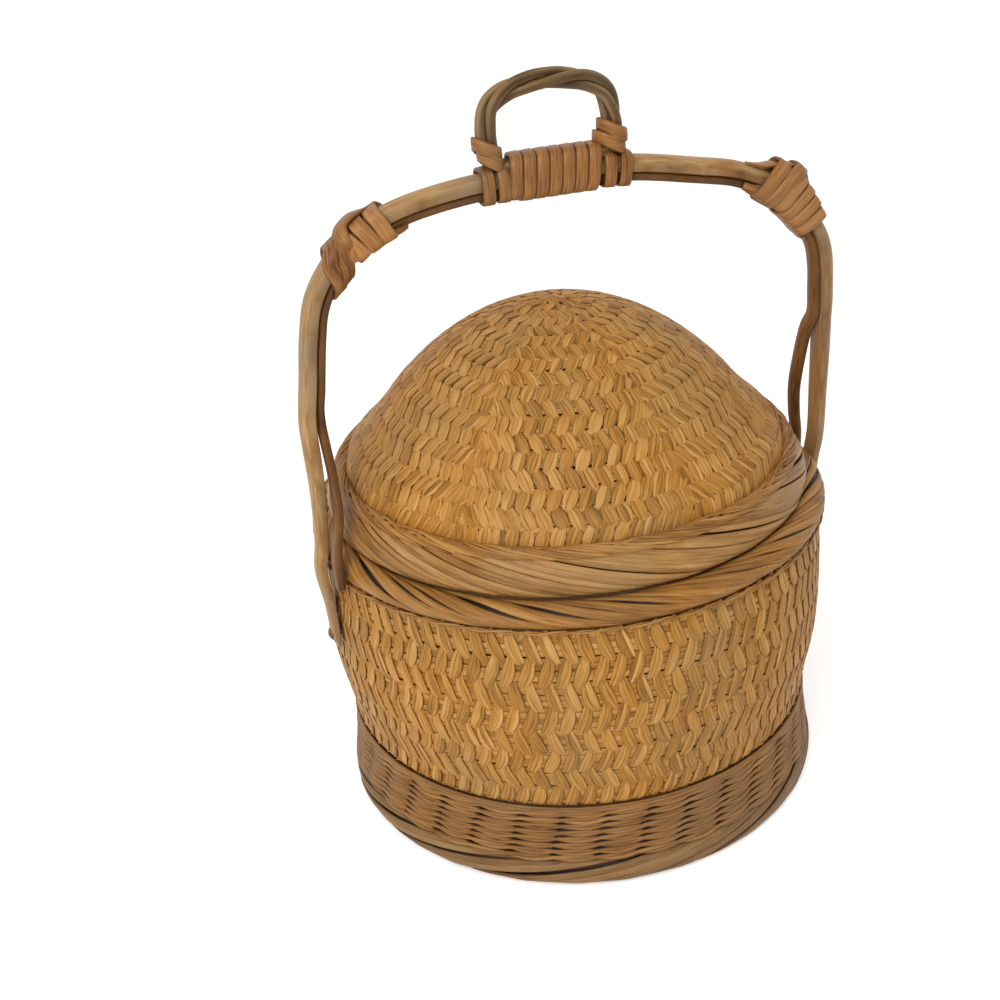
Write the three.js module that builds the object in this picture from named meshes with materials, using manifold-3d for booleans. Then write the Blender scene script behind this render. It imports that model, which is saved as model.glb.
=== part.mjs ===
// A small round lidded basket of split bamboo: a woven bowl on a twined foot ring, a domed woven
// lid with a locating collar, and a fixed carrying handle of two nested canes, bound with flat
// cane and topped by a hanging loop. Millimetres, +Z up. The origin is on the table, on the axis
// of the bowl; the handle stands in the XZ plane and the lid lifts along +Z.
import * as THREE from 'three';
import { mergeVertices } from 'three/addons/utils/BufferGeometryUtils.js';
import Module from 'manifold-3d';

const wasm = await Module();
wasm.setup();

// Driving dimensions

// Gap kept between pieces that touch, and the overrun of a cut past the solid that it cuts.
const touchGap = 0.3;
const cutOverrun = 2;

// Segments round the basket, round a cord's section, and along the handle.
const roundSteps = 36;
const cordSides = 6;
const handleSteps = 52;

// Foot: a twined band on upright stakes, with a twisted border that the basket stands on. The
// band's top is set in from the bowl's belly, and the band flares out to its lower edge.
const foot = {
  setIn: 3.4,
  flare: 1.2,
  height: 20,
  bandThickness: 1.6,
  borderHeight: 6,
  borderOverhang: 0.6,
  borderWidth: 3.5,
  stakeCount: 36,
  stakeWidth: 2.2,
  stakeThickness: 1,
  stakeSunkShare: 0.15,
  stakeFloorGap: 1.5,
  hoopHeight: 3.4,
};

// The foot border's section, as shares of its width from the inside and of its height.
const footBorderShares = [
  [0.1, 0], [0.72, 0], [0.94, 0.18], [1, 0.48], [0.92, 0.8], [0.72, 1], [0.28, 1], [0, 0.7], [0, 0.2],
];

// The band's flare from its waist down, as shares of its height and of its extra radius.
const footFlareShares = [[0, 1], [0.25, 0.65], [0.5, 0.35], [0.75, 0.12], [1, 0]];

// Bowl: one weave from the base up the wall, with a bamboo hoop inside its mouth.
const bowl = {
  bellyRadius: 56.8,
  height: 44.7,
  wall: 1.3,
  hoopThickness: 1.2,
  hoopHeight: 6.4,
};

// Radius and height of the bowl's wall, as shares of the belly radius and of the bowl's height.
const wallShares = [
  [0.9, 0], [0.93, 0.004], [0.9395, 0.025], [0.944, 0.083], [0.965, 0.217], [0.988, 0.374],
  [0.998, 0.553], [1, 0.732], [0.998, 0.888], [0.993, 1],
];

// Twisted border round the bowl's mouth, its middle set in from the bowl's belly, and the
// two-strand cord under it.
const rim = { setIn: 2.4, halfWidth: 3.2, halfHeight: 2.5, cordRadius: 0.5 };
const rimSides = 12;

// Lid: woven dome, twisted border, a braid where the two meet, and a collar that drops into the
// bowl's mouth. The lid's border is set in from the middle of the bowl's border.
const lid = {
  borderSetIn: 1,
  borderHeight: 9.2,
  borderThickness: 2.6,
  domeRise: 35,
  shell: 1.3,
  braidRadius: 0.55,
  collarDepth: 8,
  collarThickness: 1.2,
  collarPlay: 0.7,
};

// The lid border's outer face, from its lower edge up, as shares of its radius and height, and
// where on the border's sloping top the dome's outer face starts.
const lidBorderShares = [[0.985, 0], [0.995, 0.1], [1, 0.3], [0.988, 0.56], [0.962, 0.8], [0.935, 1]];
const seamShare = 0.45;

// How far the braid lies out from the seam, and how high over the border's top, in its radii.
const braidOutShare = 0.3;
const braidUpShare = 1.3;

// The dome's outer face, from the seam to the crown, as shares of the seam radius and the rise.
const domeShares = [
  [1, 0], [0.954, 0.13], [0.893, 0.205], [0.842, 0.27], [0.79, 0.35], [0.739, 0.45],
  [0.678, 0.548], [0.595, 0.66], [0.493, 0.768], [0.37, 0.862], [0.205, 0.945], [0, 1],
];

// Handle: an outer half-round cane and a thin inner cane nested under it. Its height is measured
// from the middle of the bowl's border to the joint between the two canes at the top, and its arch
// stands a little in front of the bowl's axis.
const handleRise = 73.6;
const handleSetForward = 7;
const outerCane = { thickness: 3.4, depth: 5.2, flankShare: 0.38, domeSteps: 7 };
const innerCane = { thickness: 1.9, depth: 3.8, corner: 0.6 };
const caneGap = 0.3;

// The joint between the canes, left foot to right foot: shares of the reach at which a leg clears the
// bowl's border, and of the handle's rise. The right leg leans out a little further.
const handleShares = [
  [-0.988, -0.285], [-0.99, -0.147], [-1.003, -0.025], [-0.985, 0.055], [-0.968, 0.211],
  [-0.965, 0.321], [-0.965, 0.439], [-0.943, 0.558], [-0.92, 0.679], [-0.883, 0.784],
  [-0.78, 0.887], [-0.631, 0.956], [-0.373, 0.995], [0, 1], [0.256, 0.989], [0.513, 0.95],
  [0.717, 0.908], [0.89, 0.818], [1.015, 0.683], [1.035, 0.52], [1.031, 0.436], [1.024, 0.21],
  [1.02, 0.058], [1.003, -0.025], [0.99, -0.147], [0.988, -0.285],
];

// The outer cane is shaved thinner towards its feet: its thickness there, and how far up that goes.
const footThinShare = 0.5;
const footThinReach = 46;

// The inner cane leaves the outer one low on each leg and ends beside it on the bowl's border, the
// left one to the front and the right one to the back. For each: how far out from the border's
// outer face, in inner cane thicknesses; how far to the side, in outer cane depths; and its height,
// as a share of the handle's rise.
const leftFootShares = [
  [0.63, 1.75, -0.03], [0.58, 1.65, 0.033], [0, 1.38, 0.092], [-1.05, 0.95, 0.167],
  [-1.6, 0.4, 0.27],
];
const rightFootShares = [
  [0.63, 1.52, -0.03], [0.58, 1.46, 0.033], [0.16, 1.33, 0.098], [-0.26, 1.08, 0.187],
  [-0.37, 0.65, 0.29], [0.1, 0.23, 0.413],
];

// The length of the handle on which the inner cane lies against the outer one, as shares.
const nestedShares = { from: 0.2, to: 0.8, steps: 30 };

// Bamboo peg through each foot of the outer cane and the bowl's wall.
const peg = {
  radius: 0.8,
  headRadius: 1.7,
  headHeight: 1.8,
  headDomeShares: [[1, 0.4], [0.6, 1]],
  reachInside: 1.2,
  footMargin: 3,
  sides: 12,
};

// Flat cane of the bindings: its width and thickness, and how far it steps on with each turn.
const strap = { width: 2, thickness: 0.9, pitch: 2.75, cornerPitch: 3.2, bendRoom: 0.15 };
const stepsPerTurn = 24;
const endGapSteps = 3;

// How square a turn lies round what it binds: 1 is an ellipse, and less is squarer.
const turnPower = 0.58;

// Centre binding over the handle's bar, and the ends of the loop's canes laid under it.
const centreTurns = 7;
const tails = { halfLength: 10.4, height: 1.7, depth: 3.4, corner: 0.6, steps: 4 };

// The windings and the crossed strap at each corner: turns, and places as shares of the handle's
// length. The crossed strap swings to each side by its spread.
const crossSpread = 2.6;
const crossRise = 1.65;
const leftCorner = { lowTurns: 2, lowShare: 0.3035, crossShare: 0.3355, highTurns: 2, highShare: 0.3675 };
const rightCorner = { lowTurns: 2, lowShare: 0.7225, crossShare: 0.6905, highTurns: 2, highShare: 0.6585 };

// Hanging loop: three canes laid round each other, standing on the bar.
const loop = {
  halfWidth: 15.6,
  rise: 16,
  strandRadius: 1,
  layRadius: 1.4,
  twists: 2.5,
  steps: 28,
  tieTurns: 2,
  tieStart: 1.6,
  endWrapGap: 0.8,
};

// The loop's centre line from its left foot to its crown, as shares of its half width and rise.
const loopShares = [[-1, 0], [-1.015, 0.37], [-0.94, 0.72], [-0.66, 0.94], [-0.28, 1], [0, 1]];

// Room left between the lifted lid's crown and the binding above it.
const liftMargin = 2;

// Sizes that follow from those above

const footTopRadius = bowl.bellyRadius - foot.setIn;
const footBaseRadius = footTopRadius + foot.flare;
const footBandBase = foot.borderHeight + touchGap;
const bowlBase = foot.height + touchGap;
const bowlTop = bowlBase + bowl.height;
const mouthRadius = bowl.bellyRadius * wallShares.at(-1)[0];
const rimRadius = bowl.bellyRadius - rim.setIn;
const rimCentre = bowlTop + touchGap + rim.halfHeight;
const rimTop = rimCentre + rim.halfHeight;
const lidBase = rimTop + touchGap;
const lidBorderRadius = rimRadius - lid.borderSetIn;
const collarRadius = rimRadius - rim.halfWidth - lid.collarPlay;
const collarTop = lidBase + lid.borderHeight * lidBorderShares[2][1];
const borderReach = rimRadius + rim.halfWidth;
const legEdgeForward = handleSetForward - outerCane.depth / 2;
const legReach = Math.sqrt(borderReach ** 2 - legEdgeForward ** 2) + touchGap;
const handleTop = rimCentre + handleRise;
const barTop = handleTop + outerCane.thickness;
const innerStack = caneGap + innerCane.thickness;
const strapSeat = touchGap + strap.thickness / 2;
const pegHeight = rimCentre + handleRise * handleShares[0][1] + peg.footMargin;

// Finishes

const finish = (color, roughness) => new THREE.MeshStandardMaterial({ color, roughness, metalness: 0 });
const weave = () => finish('#b98c4d', 0.62);
const border = () => finish('#8d6237', 0.6);
const twining = () => finish('#7f5433', 0.66);
const caneSkin = () => finish('#a3713f', 0.45);
const binding = () => finish('#b4743c', 0.5);
const loopCane = () => finish('#86694a', 0.58);
const splint = () => finish('#c09a62', 0.7);

// Shared ways of making solids

// One closed surface with merged corners, without the collapsed triangles at a lathe's poles.
function welded(geometry) {
  geometry.deleteAttribute('normal');
  geometry.deleteAttribute('uv');
  const merged = mergeVertices(geometry);
  const index = merged.index.array;
  const kept = [];
  for (let i = 0; i < index.length; i += 3) {
    const [a, b, c] = index.subarray(i, i + 3);
    if (a !== b && b !== c && c !== a) kept.push(a, b, c);
  }
  merged.setIndex(kept);
  return merged;
}

function toManifold(geometry) {
  const closed = welded(geometry);
  return new wasm.Manifold(new wasm.Mesh({
    numProp: 3,
    vertProperties: Float32Array.from(closed.attributes.position.array),
    triVerts: Uint32Array.from(closed.index.array),
  }));
}

function fromManifold(solid) {
  const mesh = solid.getMesh();
  const geometry = new THREE.BufferGeometry();
  geometry.setAttribute('position', new THREE.BufferAttribute(mesh.vertProperties, 3));
  geometry.setIndex(new THREE.BufferAttribute(mesh.triVerts, 1));
  return geometry;
}

// A ring or shell turned round the Z axis from [radius, height] points, outer face going up.
function turned(profile, steps = roundSteps) {
  const points = profile.map(([radius, height]) => new THREE.Vector2(radius, height));
  return new THREE.LatheGeometry(points, steps).rotateX(Math.PI / 2);
}

function turnedRing(profile, steps) {
  return turned([...profile, profile[0]], steps);
}

// The line that lies a given distance inside an outline of [radius, height] points.
function insetLine(line, distance) {
  return line.map(([radius, height], i) => {
    const [r0, z0] = line[Math.max(i - 1, 0)];
    const [r1, z1] = line[Math.min(i + 1, line.length - 1)];
    const length = Math.hypot(r1 - r0, z1 - z0);
    const insetRadius = radius - (z1 - z0) / length * distance;
    return [radius === 0 ? 0 : Math.max(insetRadius, 0), height + (r1 - r0) / length * distance];
  });
}

function box(width, depth, height, x, y, z) {
  return new THREE.BoxGeometry(width, depth, height).translate(x, y, z);
}

function roundedSection(depth, thickness, corner) {
  const x = depth / 2;
  const y = thickness / 2;
  const points = [
    [-x + corner, -y], [x - corner, -y], [x, -y + corner], [x, y - corner],
    [x - corner, y], [-x + corner, y], [-x, y - corner], [-x, -y + corner],
  ];
  return new THREE.Shape(points.map(([u, v]) => new THREE.Vector2(u, v)));
}

// Half-round cane: a flat inner face along v = 0 and a domed outer one.
function halfRoundSection({ depth, thickness, flankShare, domeSteps }) {
  const flank = thickness * flankShare;
  const points = [new THREE.Vector2(-depth / 2, 0), new THREE.Vector2(depth / 2, 0)];
  for (let i = 0; i <= domeSteps; i += 1) {
    const angle = Math.PI * i / domeSteps;
    points.push(new THREE.Vector2(
      Math.cos(angle) * depth / 2, flank + Math.sin(angle) * (thickness - flank),
    ));
  }
  return new THREE.Shape(points);
}

function roundSection(radius, sides) {
  const points = [];
  for (let i = 0; i < sides; i += 1) {
    const angle = 2 * Math.PI * i / sides;
    points.push(new THREE.Vector2(radius * Math.cos(angle), radius * Math.sin(angle)));
  }
  return new THREE.Shape(points);
}

const depthAxis = new THREE.Vector3(0, 1, 0);

// A cane's line. Its section keeps its width along Y and its height outwards from the arch, and
// thicknessAt scales that height, which thins the cane on its outer side.
class CaneLine extends THREE.CatmullRomCurve3 {
  thicknessAt() {
    return 1;
  }

  computeFrenetFrames(segments) {
    const frames = { tangents: [], normals: [], binormals: [] };
    for (let i = 0; i <= segments; i += 1) {
      const along = this.getTangentAt(i / segments);
      const across = depthAxis.clone().addScaledVector(along, -along.y).normalize();
      frames.tangents.push(along);
      frames.normals.push(across);
      frames.binormals.push(along.clone().cross(across).multiplyScalar(this.thicknessAt(i / segments)));
    }
    return frames;
  }
}

// A bar of one section along a curve, square at both ends.
function alongCurve(section, curve, steps) {
  return new THREE.ExtrudeGeometry(section, { steps, extrudePath: curve, bevelEnabled: false });
}

const placed = new THREE.Group();

function add(name, geometry, material, parent = placed) {
  const mesh = new THREE.Mesh(welded(geometry), material);
  mesh.name = name;
  parent.add(mesh);
  return mesh;
}

// Handle's lines

// The joint between the two canes, which is the flat face of the outer one.
class JointLine extends CaneLine {
  thicknessAt(share) {
    const fromFoot = Math.min(share, 1 - share) * this.getLength();
    const thinned = Math.max(1 - fromFoot / footThinReach, 0);
    return 1 - (1 - footThinShare) * thinned;
  }
}

const handleLine = new JointLine(
  handleShares.map(([x, z]) => new THREE.Vector3(
    legReach * x, -handleSetForward, rimCentre + handleRise * z,
  )),
);
const handleLength = handleLine.getLength();

// Place, direction and outward side of the handle, at a share of its length.
function handleAt(share) {
  const point = handleLine.getPointAt(share);
  const along = handleLine.getTangentAt(share);
  const outward = new THREE.Vector3(-along.z, 0, along.x);
  return { point, along, outward };
}

// Share of the handle's length at which the bar passes a place across.
function shareAtPlace(x) {
  let low = nestedShares.from;
  let high = nestedShares.to;
  while (high - low > Number.EPSILON * 4) {
    const middle = (low + high) / 2;
    if (handleAt(middle).point.x < x) low = middle;
    else high = middle;
  }
  return low;
}

function innerLine() {
  const footPoints = (shares, side) => shares.map(([out, aside, up]) => {
    const radius = borderReach + touchGap + innerCane.thickness * out;
    const y = side * outerCane.depth * aside - handleSetForward;
    const x = side * Math.sqrt(radius ** 2 - y ** 2);
    return new THREE.Vector3(x, y, rimCentre + handleRise * up);
  });
  const nested = [];
  for (let i = 0; i <= nestedShares.steps; i += 1) {
    const along = i / nestedShares.steps;
    const { point, outward } = handleAt(nestedShares.from + (nestedShares.to - nestedShares.from) * along);
    nested.push(point.addScaledVector(outward, -caneGap - innerCane.thickness / 2));
  }
  return new CaneLine([
    ...footPoints(leftFootShares, -1), ...nested, ...footPoints(rightFootShares, 1).reverse(),
  ]);
}

// Foot

function footBand() {
  const rise = foot.height - footBandBase;
  const outer = footFlareShares.map(([up, flare]) => [
    footTopRadius + foot.flare * flare, footBandBase + rise * up,
  ]);
  const inner = outer.map(([radius, height]) => [radius - foot.bandThickness, height]).reverse();
  return turnedRing([...outer, ...inner]);
}

function footBorder() {
  const innerRadius = footBaseRadius + foot.borderOverhang - foot.borderWidth;
  return turnedRing(footBorderShares.map(([across, up]) => [
    innerRadius + foot.borderWidth * across, foot.borderHeight * up,
  ]));
}

// The upright stakes of the foot hang from a hoop under the bowl, inside the twined band.
function footStakes() {
  const bandInside = (footTopRadius - foot.bandThickness) * Math.cos(Math.PI / roundSteps);
  const outerRadius = bandInside - touchGap;
  const innerRadius = outerRadius - foot.stakeThickness;
  const hoopBase = foot.height - foot.hoopHeight;
  let cage = toManifold(turnedRing([
    [innerRadius, hoopBase], [outerRadius, hoopBase],
    [outerRadius, foot.height], [innerRadius, foot.height],
  ], foot.stakeCount));
  const stakeLength = hoopBase + foot.hoopHeight / 2 - foot.stakeFloorGap;
  const sunk = foot.stakeThickness * foot.stakeSunkShare;
  for (let i = 0; i < foot.stakeCount; i += 1) {
    const stake = box(
      foot.stakeThickness - sunk * 2, foot.stakeWidth, stakeLength,
      innerRadius + foot.stakeThickness / 2 - sunk / 2, 0, foot.stakeFloorGap + stakeLength / 2,
    ).rotateZ(2 * Math.PI * i / foot.stakeCount);
    cage = cage.add(toManifold(stake));
  }
  return fromManifold(cage);
}

// Bowl

function bowlWeave() {
  const outer = wallShares.map(([across, up]) => [
    bowl.bellyRadius * across, bowlBase + bowl.height * up,
  ]);
  const inner = insetLine(outer.slice(2), bowl.wall).reverse().filter((point, i) => i % 2 === 0 || i < 2);
  inner[0][1] = bowlTop;
  const floorTop = bowlBase + bowl.wall;
  const floorRadius = outer[0][0] - bowl.wall;
  let solid = toManifold(turned([
    [0, bowlBase], ...outer, ...inner, [floorRadius, floorTop], [0, floorTop],
  ]));
  for (const side of [-1, 1]) solid = solid.subtract(toManifold(pegHole(side)));
  return fromManifold(solid);
}

function bowlBorder() {
  const section = [];
  for (let i = 0; i < rimSides; i += 1) {
    const angle = 2 * Math.PI * i / rimSides;
    section.push([
      rimRadius + rim.halfWidth * Math.cos(angle), rimCentre + rim.halfHeight * Math.sin(angle),
    ]);
  }
  return turnedRing(section);
}

// The two-strand cord under the border, inside the handle's legs.
function borderCord() {
  const centreRadius = mouthRadius + touchGap + rim.cordRadius;
  return new THREE.TorusGeometry(centreRadius, rim.cordRadius, cordSides, roundSteps)
    .translate(0, 0, bowlTop + rim.cordRadius);
}

function mouthHoop() {
  const outerRadius = mouthRadius - bowl.wall - touchGap;
  const innerRadius = outerRadius - bowl.hoopThickness;
  const base = bowlTop - bowl.hoopHeight;
  return turnedRing([
    [innerRadius, base], [outerRadius, base], [outerRadius, bowlTop], [innerRadius, bowlTop],
  ]);
}

// Lid

function lidBorderLines() {
  const outer = lidBorderShares.map(([across, up]) => [
    lidBorderRadius * across, lidBase + lid.borderHeight * up,
  ]);
  const collarSeat = collarRadius + touchGap;
  const inner = insetLine(outer, lid.borderThickness).map(([radius, height]) => [
    height < collarTop + touchGap ? Math.max(radius, collarSeat) : radius, height,
  ]);
  inner[0][1] = lidBase;
  return { outer, inner };
}

const borderLines = lidBorderLines();

// Place on the border's sloping top, at a share of the way from its inner to its outer edge.
function borderTopAt(share) {
  const [innerEdge, outerEdge] = [borderLines.inner.at(-1), borderLines.outer.at(-1)];
  return innerEdge.map((value, i) => value + (outerEdge[i] - value) * share);
}

const [seamRadius, seamFoot] = borderTopAt(seamShare);
const seamHeight = seamFoot + touchGap;
const crown = seamHeight + lid.domeRise;
const lidLift = handleTop - innerStack - touchGap - strap.thickness - liftMargin - crown;
console.log(`the lid stands ${crown.toFixed(1)} mm high and lifts ${lidLift.toFixed(1)} mm`);

function lidDome() {
  const outer = domeShares.map(([across, up]) => [
    seamRadius * across, seamHeight + lid.domeRise * up,
  ]);
  const inner = insetLine(outer, lid.shell).filter((point, i) => i % 2 === 0 || point[0] === 0);
  return turned([...inner.reverse(), ...outer]);
}

function lidBorder() {
  return turnedRing([...borderLines.outer, ...borderLines.inner.toReversed()]);
}

// The ropy edge of the border, laid in the corner between its top and the dome.
function lidBraid() {
  const centreRadius = seamRadius + touchGap + lid.braidRadius * braidOutShare;
  const [edgeRadius, edgeHeight] = borderTopAt(1);
  const slope = (edgeHeight - seamFoot) / (edgeRadius - seamRadius);
  const clearance = (lid.braidRadius + touchGap) * braidUpShare;
  const height = seamFoot + (centreRadius - seamRadius) * slope + clearance;
  return new THREE.TorusGeometry(centreRadius, lid.braidRadius, cordSides, roundSteps)
    .translate(0, 0, height);
}

function lidCollar() {
  const innerRadius = collarRadius - lid.collarThickness;
  const base = lidBase - lid.collarDepth;
  return turnedRing([
    [innerRadius, base], [collarRadius, base], [collarRadius, collarTop], [innerRadius, collarTop],
  ]);
}

// Handle

function pegHole(side) {
  const radius = peg.radius + touchGap;
  const reach = peg.reachInside + bowl.wall + outerCane.thickness + cutOverrun * 2;
  return new THREE.CylinderGeometry(radius, radius, reach * 2, peg.sides)
    .rotateZ(Math.PI / 2)
    .translate(side * legReach, -handleSetForward, pegHeight);
}

function outerCaneSolid() {
  let solid = toManifold(alongCurve(halfRoundSection(outerCane), handleLine, handleSteps));
  for (const side of [-1, 1]) solid = solid.subtract(toManifold(pegHole(side)));
  return fromManifold(solid);
}

function innerCaneSolid() {
  const section = roundedSection(innerCane.depth, innerCane.thickness, innerCane.corner);
  return alongCurve(section, innerLine(), handleSteps);
}

// A headed peg that runs from outside the leg through the wall, along X.
function legPeg(side) {
  const innerEnd = bowl.bellyRadius - bowl.wall - peg.reachInside;
  const keptShare = footThinShare + (1 - footThinShare) * peg.footMargin / footThinReach;
  const thinned = outerCane.thickness * keptShare;
  const headSeat = legReach * handleShares[0][0] * -1 + thinned + touchGap;
  const head = peg.headDomeShares.map(([across, up]) => [
    peg.headRadius * across, headSeat + peg.headHeight * up,
  ]);
  const profile = [
    [0, innerEnd], [peg.radius, innerEnd], [peg.radius, headSeat], [peg.headRadius, headSeat],
    ...head, [0, head.at(-1)[1]],
  ];
  return turned(profile, peg.sides)
    .rotateY(side * Math.PI / 2)
    .translate(0, -handleSetForward, pegHeight);
}

// Windings of flat cane

// The six corners of the flat cane's section, across its width and its thickness.
const strapSection = [
  [-0.5, 0], [-0.34, 0.5], [0.34, 0.5], [0.5, 0], [0.34, -0.5], [-0.34, -0.5],
].map(([across, up]) => [strap.width * across, strap.thickness * up]);

// The least gap between stretches of a winding that lie half a turn or more apart.
function leastGap(rings) {
  let least = Infinity;
  for (let i = 0; i < rings.length; i += 1) {
    for (let j = i + stepsPerTurn / 2; j < rings.length; j += 1) {
      for (const a of rings[i]) {
        for (const b of rings[j]) least = Math.min(least, a.distanceTo(b));
      }
    }
  }
  return least;
}

// One unbroken tube of flat cane through the points of a path, with its outward side at each.
function strapTube(name, { path, outwards }) {
  const count = path.length;
  const rings = path.map((point, i) => {
    const before = path[Math.max(i - 1, 0)];
    const after = path[Math.min(i + 1, count - 1)];
    const ahead = after.clone().sub(before).normalize();
    const across = new THREE.Vector3().crossVectors(ahead, outwards[i]).normalize();
    const up = new THREE.Vector3().crossVectors(across, ahead);
    return strapSection.map(([u, v]) => point.clone().addScaledVector(across, u).addScaledVector(up, v));
  });
  const sides = strapSection.length;
  const index = [];
  for (let i = 0; i < count - 1; i += 1) {
    const here = i * sides;
    const next = here + sides;
    for (let k = 0; k < sides; k += 1) {
      const l = (k + 1) % sides;
      index.push(here + k, here + l, next + l, here + k, next + l, next + k);
    }
  }
  const last = (count - 1) * sides;
  for (let k = 1; k < sides - 1; k += 1) {
    index.push(0, k + 1, k);
    index.push(last, last + k, last + k + 1);
  }
  const geometry = new THREE.BufferGeometry();
  const flat = rings.flat().flatMap((corner) => corner.toArray());
  geometry.setAttribute('position', new THREE.Float32BufferAttribute(flat, 3));
  geometry.setIndex(index);
  console.log(`${name}: least gap to itself ${leastGap(rings).toFixed(2)} mm`);
  return geometry;
}

// A point on the rounded oblong that a turn follows round what it binds.
function roundOblong(angle, halfUp, halfDeep) {
  const up = Math.sign(Math.cos(angle)) * Math.abs(Math.cos(angle)) ** turnPower * halfUp;
  const deep = Math.sign(Math.sin(angle)) * Math.abs(Math.sin(angle)) ** turnPower * halfDeep;
  return [up, deep];
}

// Path of a winding round the handle, from below the handle to below it again. The where function
// gives the share of the handle's length from the share of the turns made and the angle, and lift
// any extra distance out from the canes.
function handlePath(turns, where, size, lift = () => 0) {
  const path = [];
  const outwards = [];
  const steps = turns * stepsPerTurn;
  for (let i = 0; i <= steps; i += 1) {
    const angle = Math.PI + 2 * Math.PI * i / stepsPerTurn;
    const { point, outward } = handleAt(where(i / steps, angle));
    const raise = lift(i / steps);
    const [up, deep] = roundOblong(angle, size.halfUp + raise, size.halfDeep + raise);
    const centre = point.clone().addScaledVector(outward, size.shift);
    const offset = outward.clone().multiplyScalar(up).addScaledVector(depthAxis, deep);
    path.push(centre.add(offset));
    const [normalUp, normalDeep] = [up / size.halfUp ** 2, deep / size.halfDeep ** 2];
    outwards.push(outward.multiplyScalar(normalUp).addScaledVector(depthAxis, normalDeep).normalize());
  }
  return { path, outwards };
}

// A winding's two ends run straight for one strap width.
function withTails({ path, outwards }) {
  const tail = (end, next) => end.clone().sub(next).setLength(strap.width).add(end);
  return {
    path: [tail(path[0], path[1]), ...path, tail(path.at(-1), path.at(-2))],
    outwards: [outwards[0], ...outwards, outwards.at(-1)],
  };
}

// A strap that comes back to its start has its two ends tucked in below the handle, apart.
function openedBelow({ path, outwards }) {
  return { path: path.slice(0, -endGapSteps), outwards: outwards.slice(0, -endGapSteps) };
}

// Half sizes of a turn round a stack that reaches so far in and out from the canes' joint.
function turnSize(inwards, outwards, room = 0) {
  return {
    halfUp: (inwards + outwards) / 2 + strapSeat + room,
    halfDeep: outerCane.depth / 2 + strapSeat,
    shift: (outwards - inwards) / 2,
  };
}

const pairSize = turnSize(innerStack, outerCane.thickness);
const cornerSize = turnSize(innerStack, outerCane.thickness, strap.bendRoom);
const centreSize = turnSize(innerStack, outerCane.thickness + touchGap + tails.height);

function centreBinding(name) {
  const middle = shareAtPlace(0);
  const span = centreTurns * strap.pitch / handleLength;
  return strapTube(name, withTails(
    handlePath(centreTurns, (share) => middle + span * (share - 1 / 2), centreSize),
  ));
}

// A corner winding, centred on a share of the handle's length.
function cornerBinding(name, turns, centreShare) {
  const span = turns * strap.cornerPitch / handleLength;
  return strapTube(name, withTails(
    handlePath(turns, (share) => centreShare + span * (share - 1 / 2), cornerSize),
  ));
}

// The crossed strap at a corner goes round twice: it crosses itself on the outside of the bend and
// lies in two parallel runs on the inside.
function cornerCross(name, centreShare) {
  const spread = crossSpread / handleLength;
  const where = (share, angle) => {
    const wave = crossRise * Math.sin(angle / 2);
    return centreShare + spread * Math.min(Math.max(wave, -1), 1);
  };
  const lift = (share) => (strap.thickness + strapSeat) * Math.max(Math.sin(2 * Math.PI * share), 0) ** 2;
  return strapTube(name, openedBelow(handlePath(2, where, cornerSize, lift)));
}

function endWrap(name, side) {
  const legEdge = loop.halfWidth + loop.layRadius + loop.strandRadius;
  const share = shareAtPlace(side * (legEdge + loop.endWrapGap + strap.width / 2));
  return strapTube(name, openedBelow(handlePath(1, () => share, pairSize)));
}

// Hanging loop

const loopFoot = barTop + touchGap;
const loopLine = new THREE.CatmullRomCurve3(
  [...loopShares, ...loopShares.slice(0, -1).reverse().map(([x, z]) => [-x, z])].map(
    ([x, z]) => new THREE.Vector3(loop.halfWidth * x, -handleSetForward, loopFoot + loop.rise * z),
  ),
);

// One of the loop's canes, laid round the loop's centre line.
class LaidStrand extends THREE.Curve {
  constructor(phase) {
    super();
    this.phase = phase;
  }

  getPoint(t, target = new THREE.Vector3()) {
    const point = loopLine.getPointAt(t);
    const along = loopLine.getTangentAt(t);
    const outward = new THREE.Vector3(-along.z, 0, along.x);
    const angle = this.phase + 2 * Math.PI * loop.twists * t;
    return target.copy(point)
      .addScaledVector(outward, loop.layRadius * Math.cos(angle))
      .addScaledVector(depthAxis, loop.layRadius * Math.sin(angle));
  }
}

// The ends of the loop's canes lie flat along the bar, under the centre binding.
function loopTails() {
  const [from, to] = [-tails.halfLength, tails.halfLength].map(shareAtPlace);
  const points = [];
  for (let i = 0; i <= tails.steps; i += 1) {
    const { point, outward } = handleAt(from + (to - from) * i / tails.steps);
    points.push(point.addScaledVector(outward, outerCane.thickness + touchGap + tails.height / 2));
  }
  const section = roundedSection(tails.depth, tails.height, tails.corner);
  return alongCurve(section, new CaneLine(points), tails.steps);
}

// A collar of flat cane round one leg of the loop.
function loopTie(name, side) {
  const radius = loop.layRadius + loop.strandRadius + strapSeat;
  const path = [];
  const outwards = [];
  for (let i = 0; i <= loop.tieTurns * stepsPerTurn; i += 1) {
    const angle = 2 * Math.PI * i / stepsPerTurn;
    const climb = (loop.tieStart + strap.pitch * i / stepsPerTurn) / loopLine.getLength();
    const out = new THREE.Vector3(Math.cos(angle), Math.sin(angle), 0);
    path.push(loopLine.getPointAt(side < 0 ? climb : 1 - climb).addScaledVector(out, radius));
    outwards.push(out);
  }
  return strapTube(name, { path, outwards });
}

// Assembly

const basket = new THREE.Group();
const lidGroup = new THREE.Group();
placed.add(basket, lidGroup);

add('foot_border', footBorder(), border(), basket);
add('foot_band', footBand(), twining(), basket);
add('foot_stakes', footStakes(), splint(), basket);

add('bowl_weave', bowlWeave(), weave(), basket);
add('mouth_hoop', mouthHoop(), splint(), basket);
add('bowl_border', bowlBorder(), border(), basket);
add('border_cord', borderCord(), border(), basket);

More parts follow.
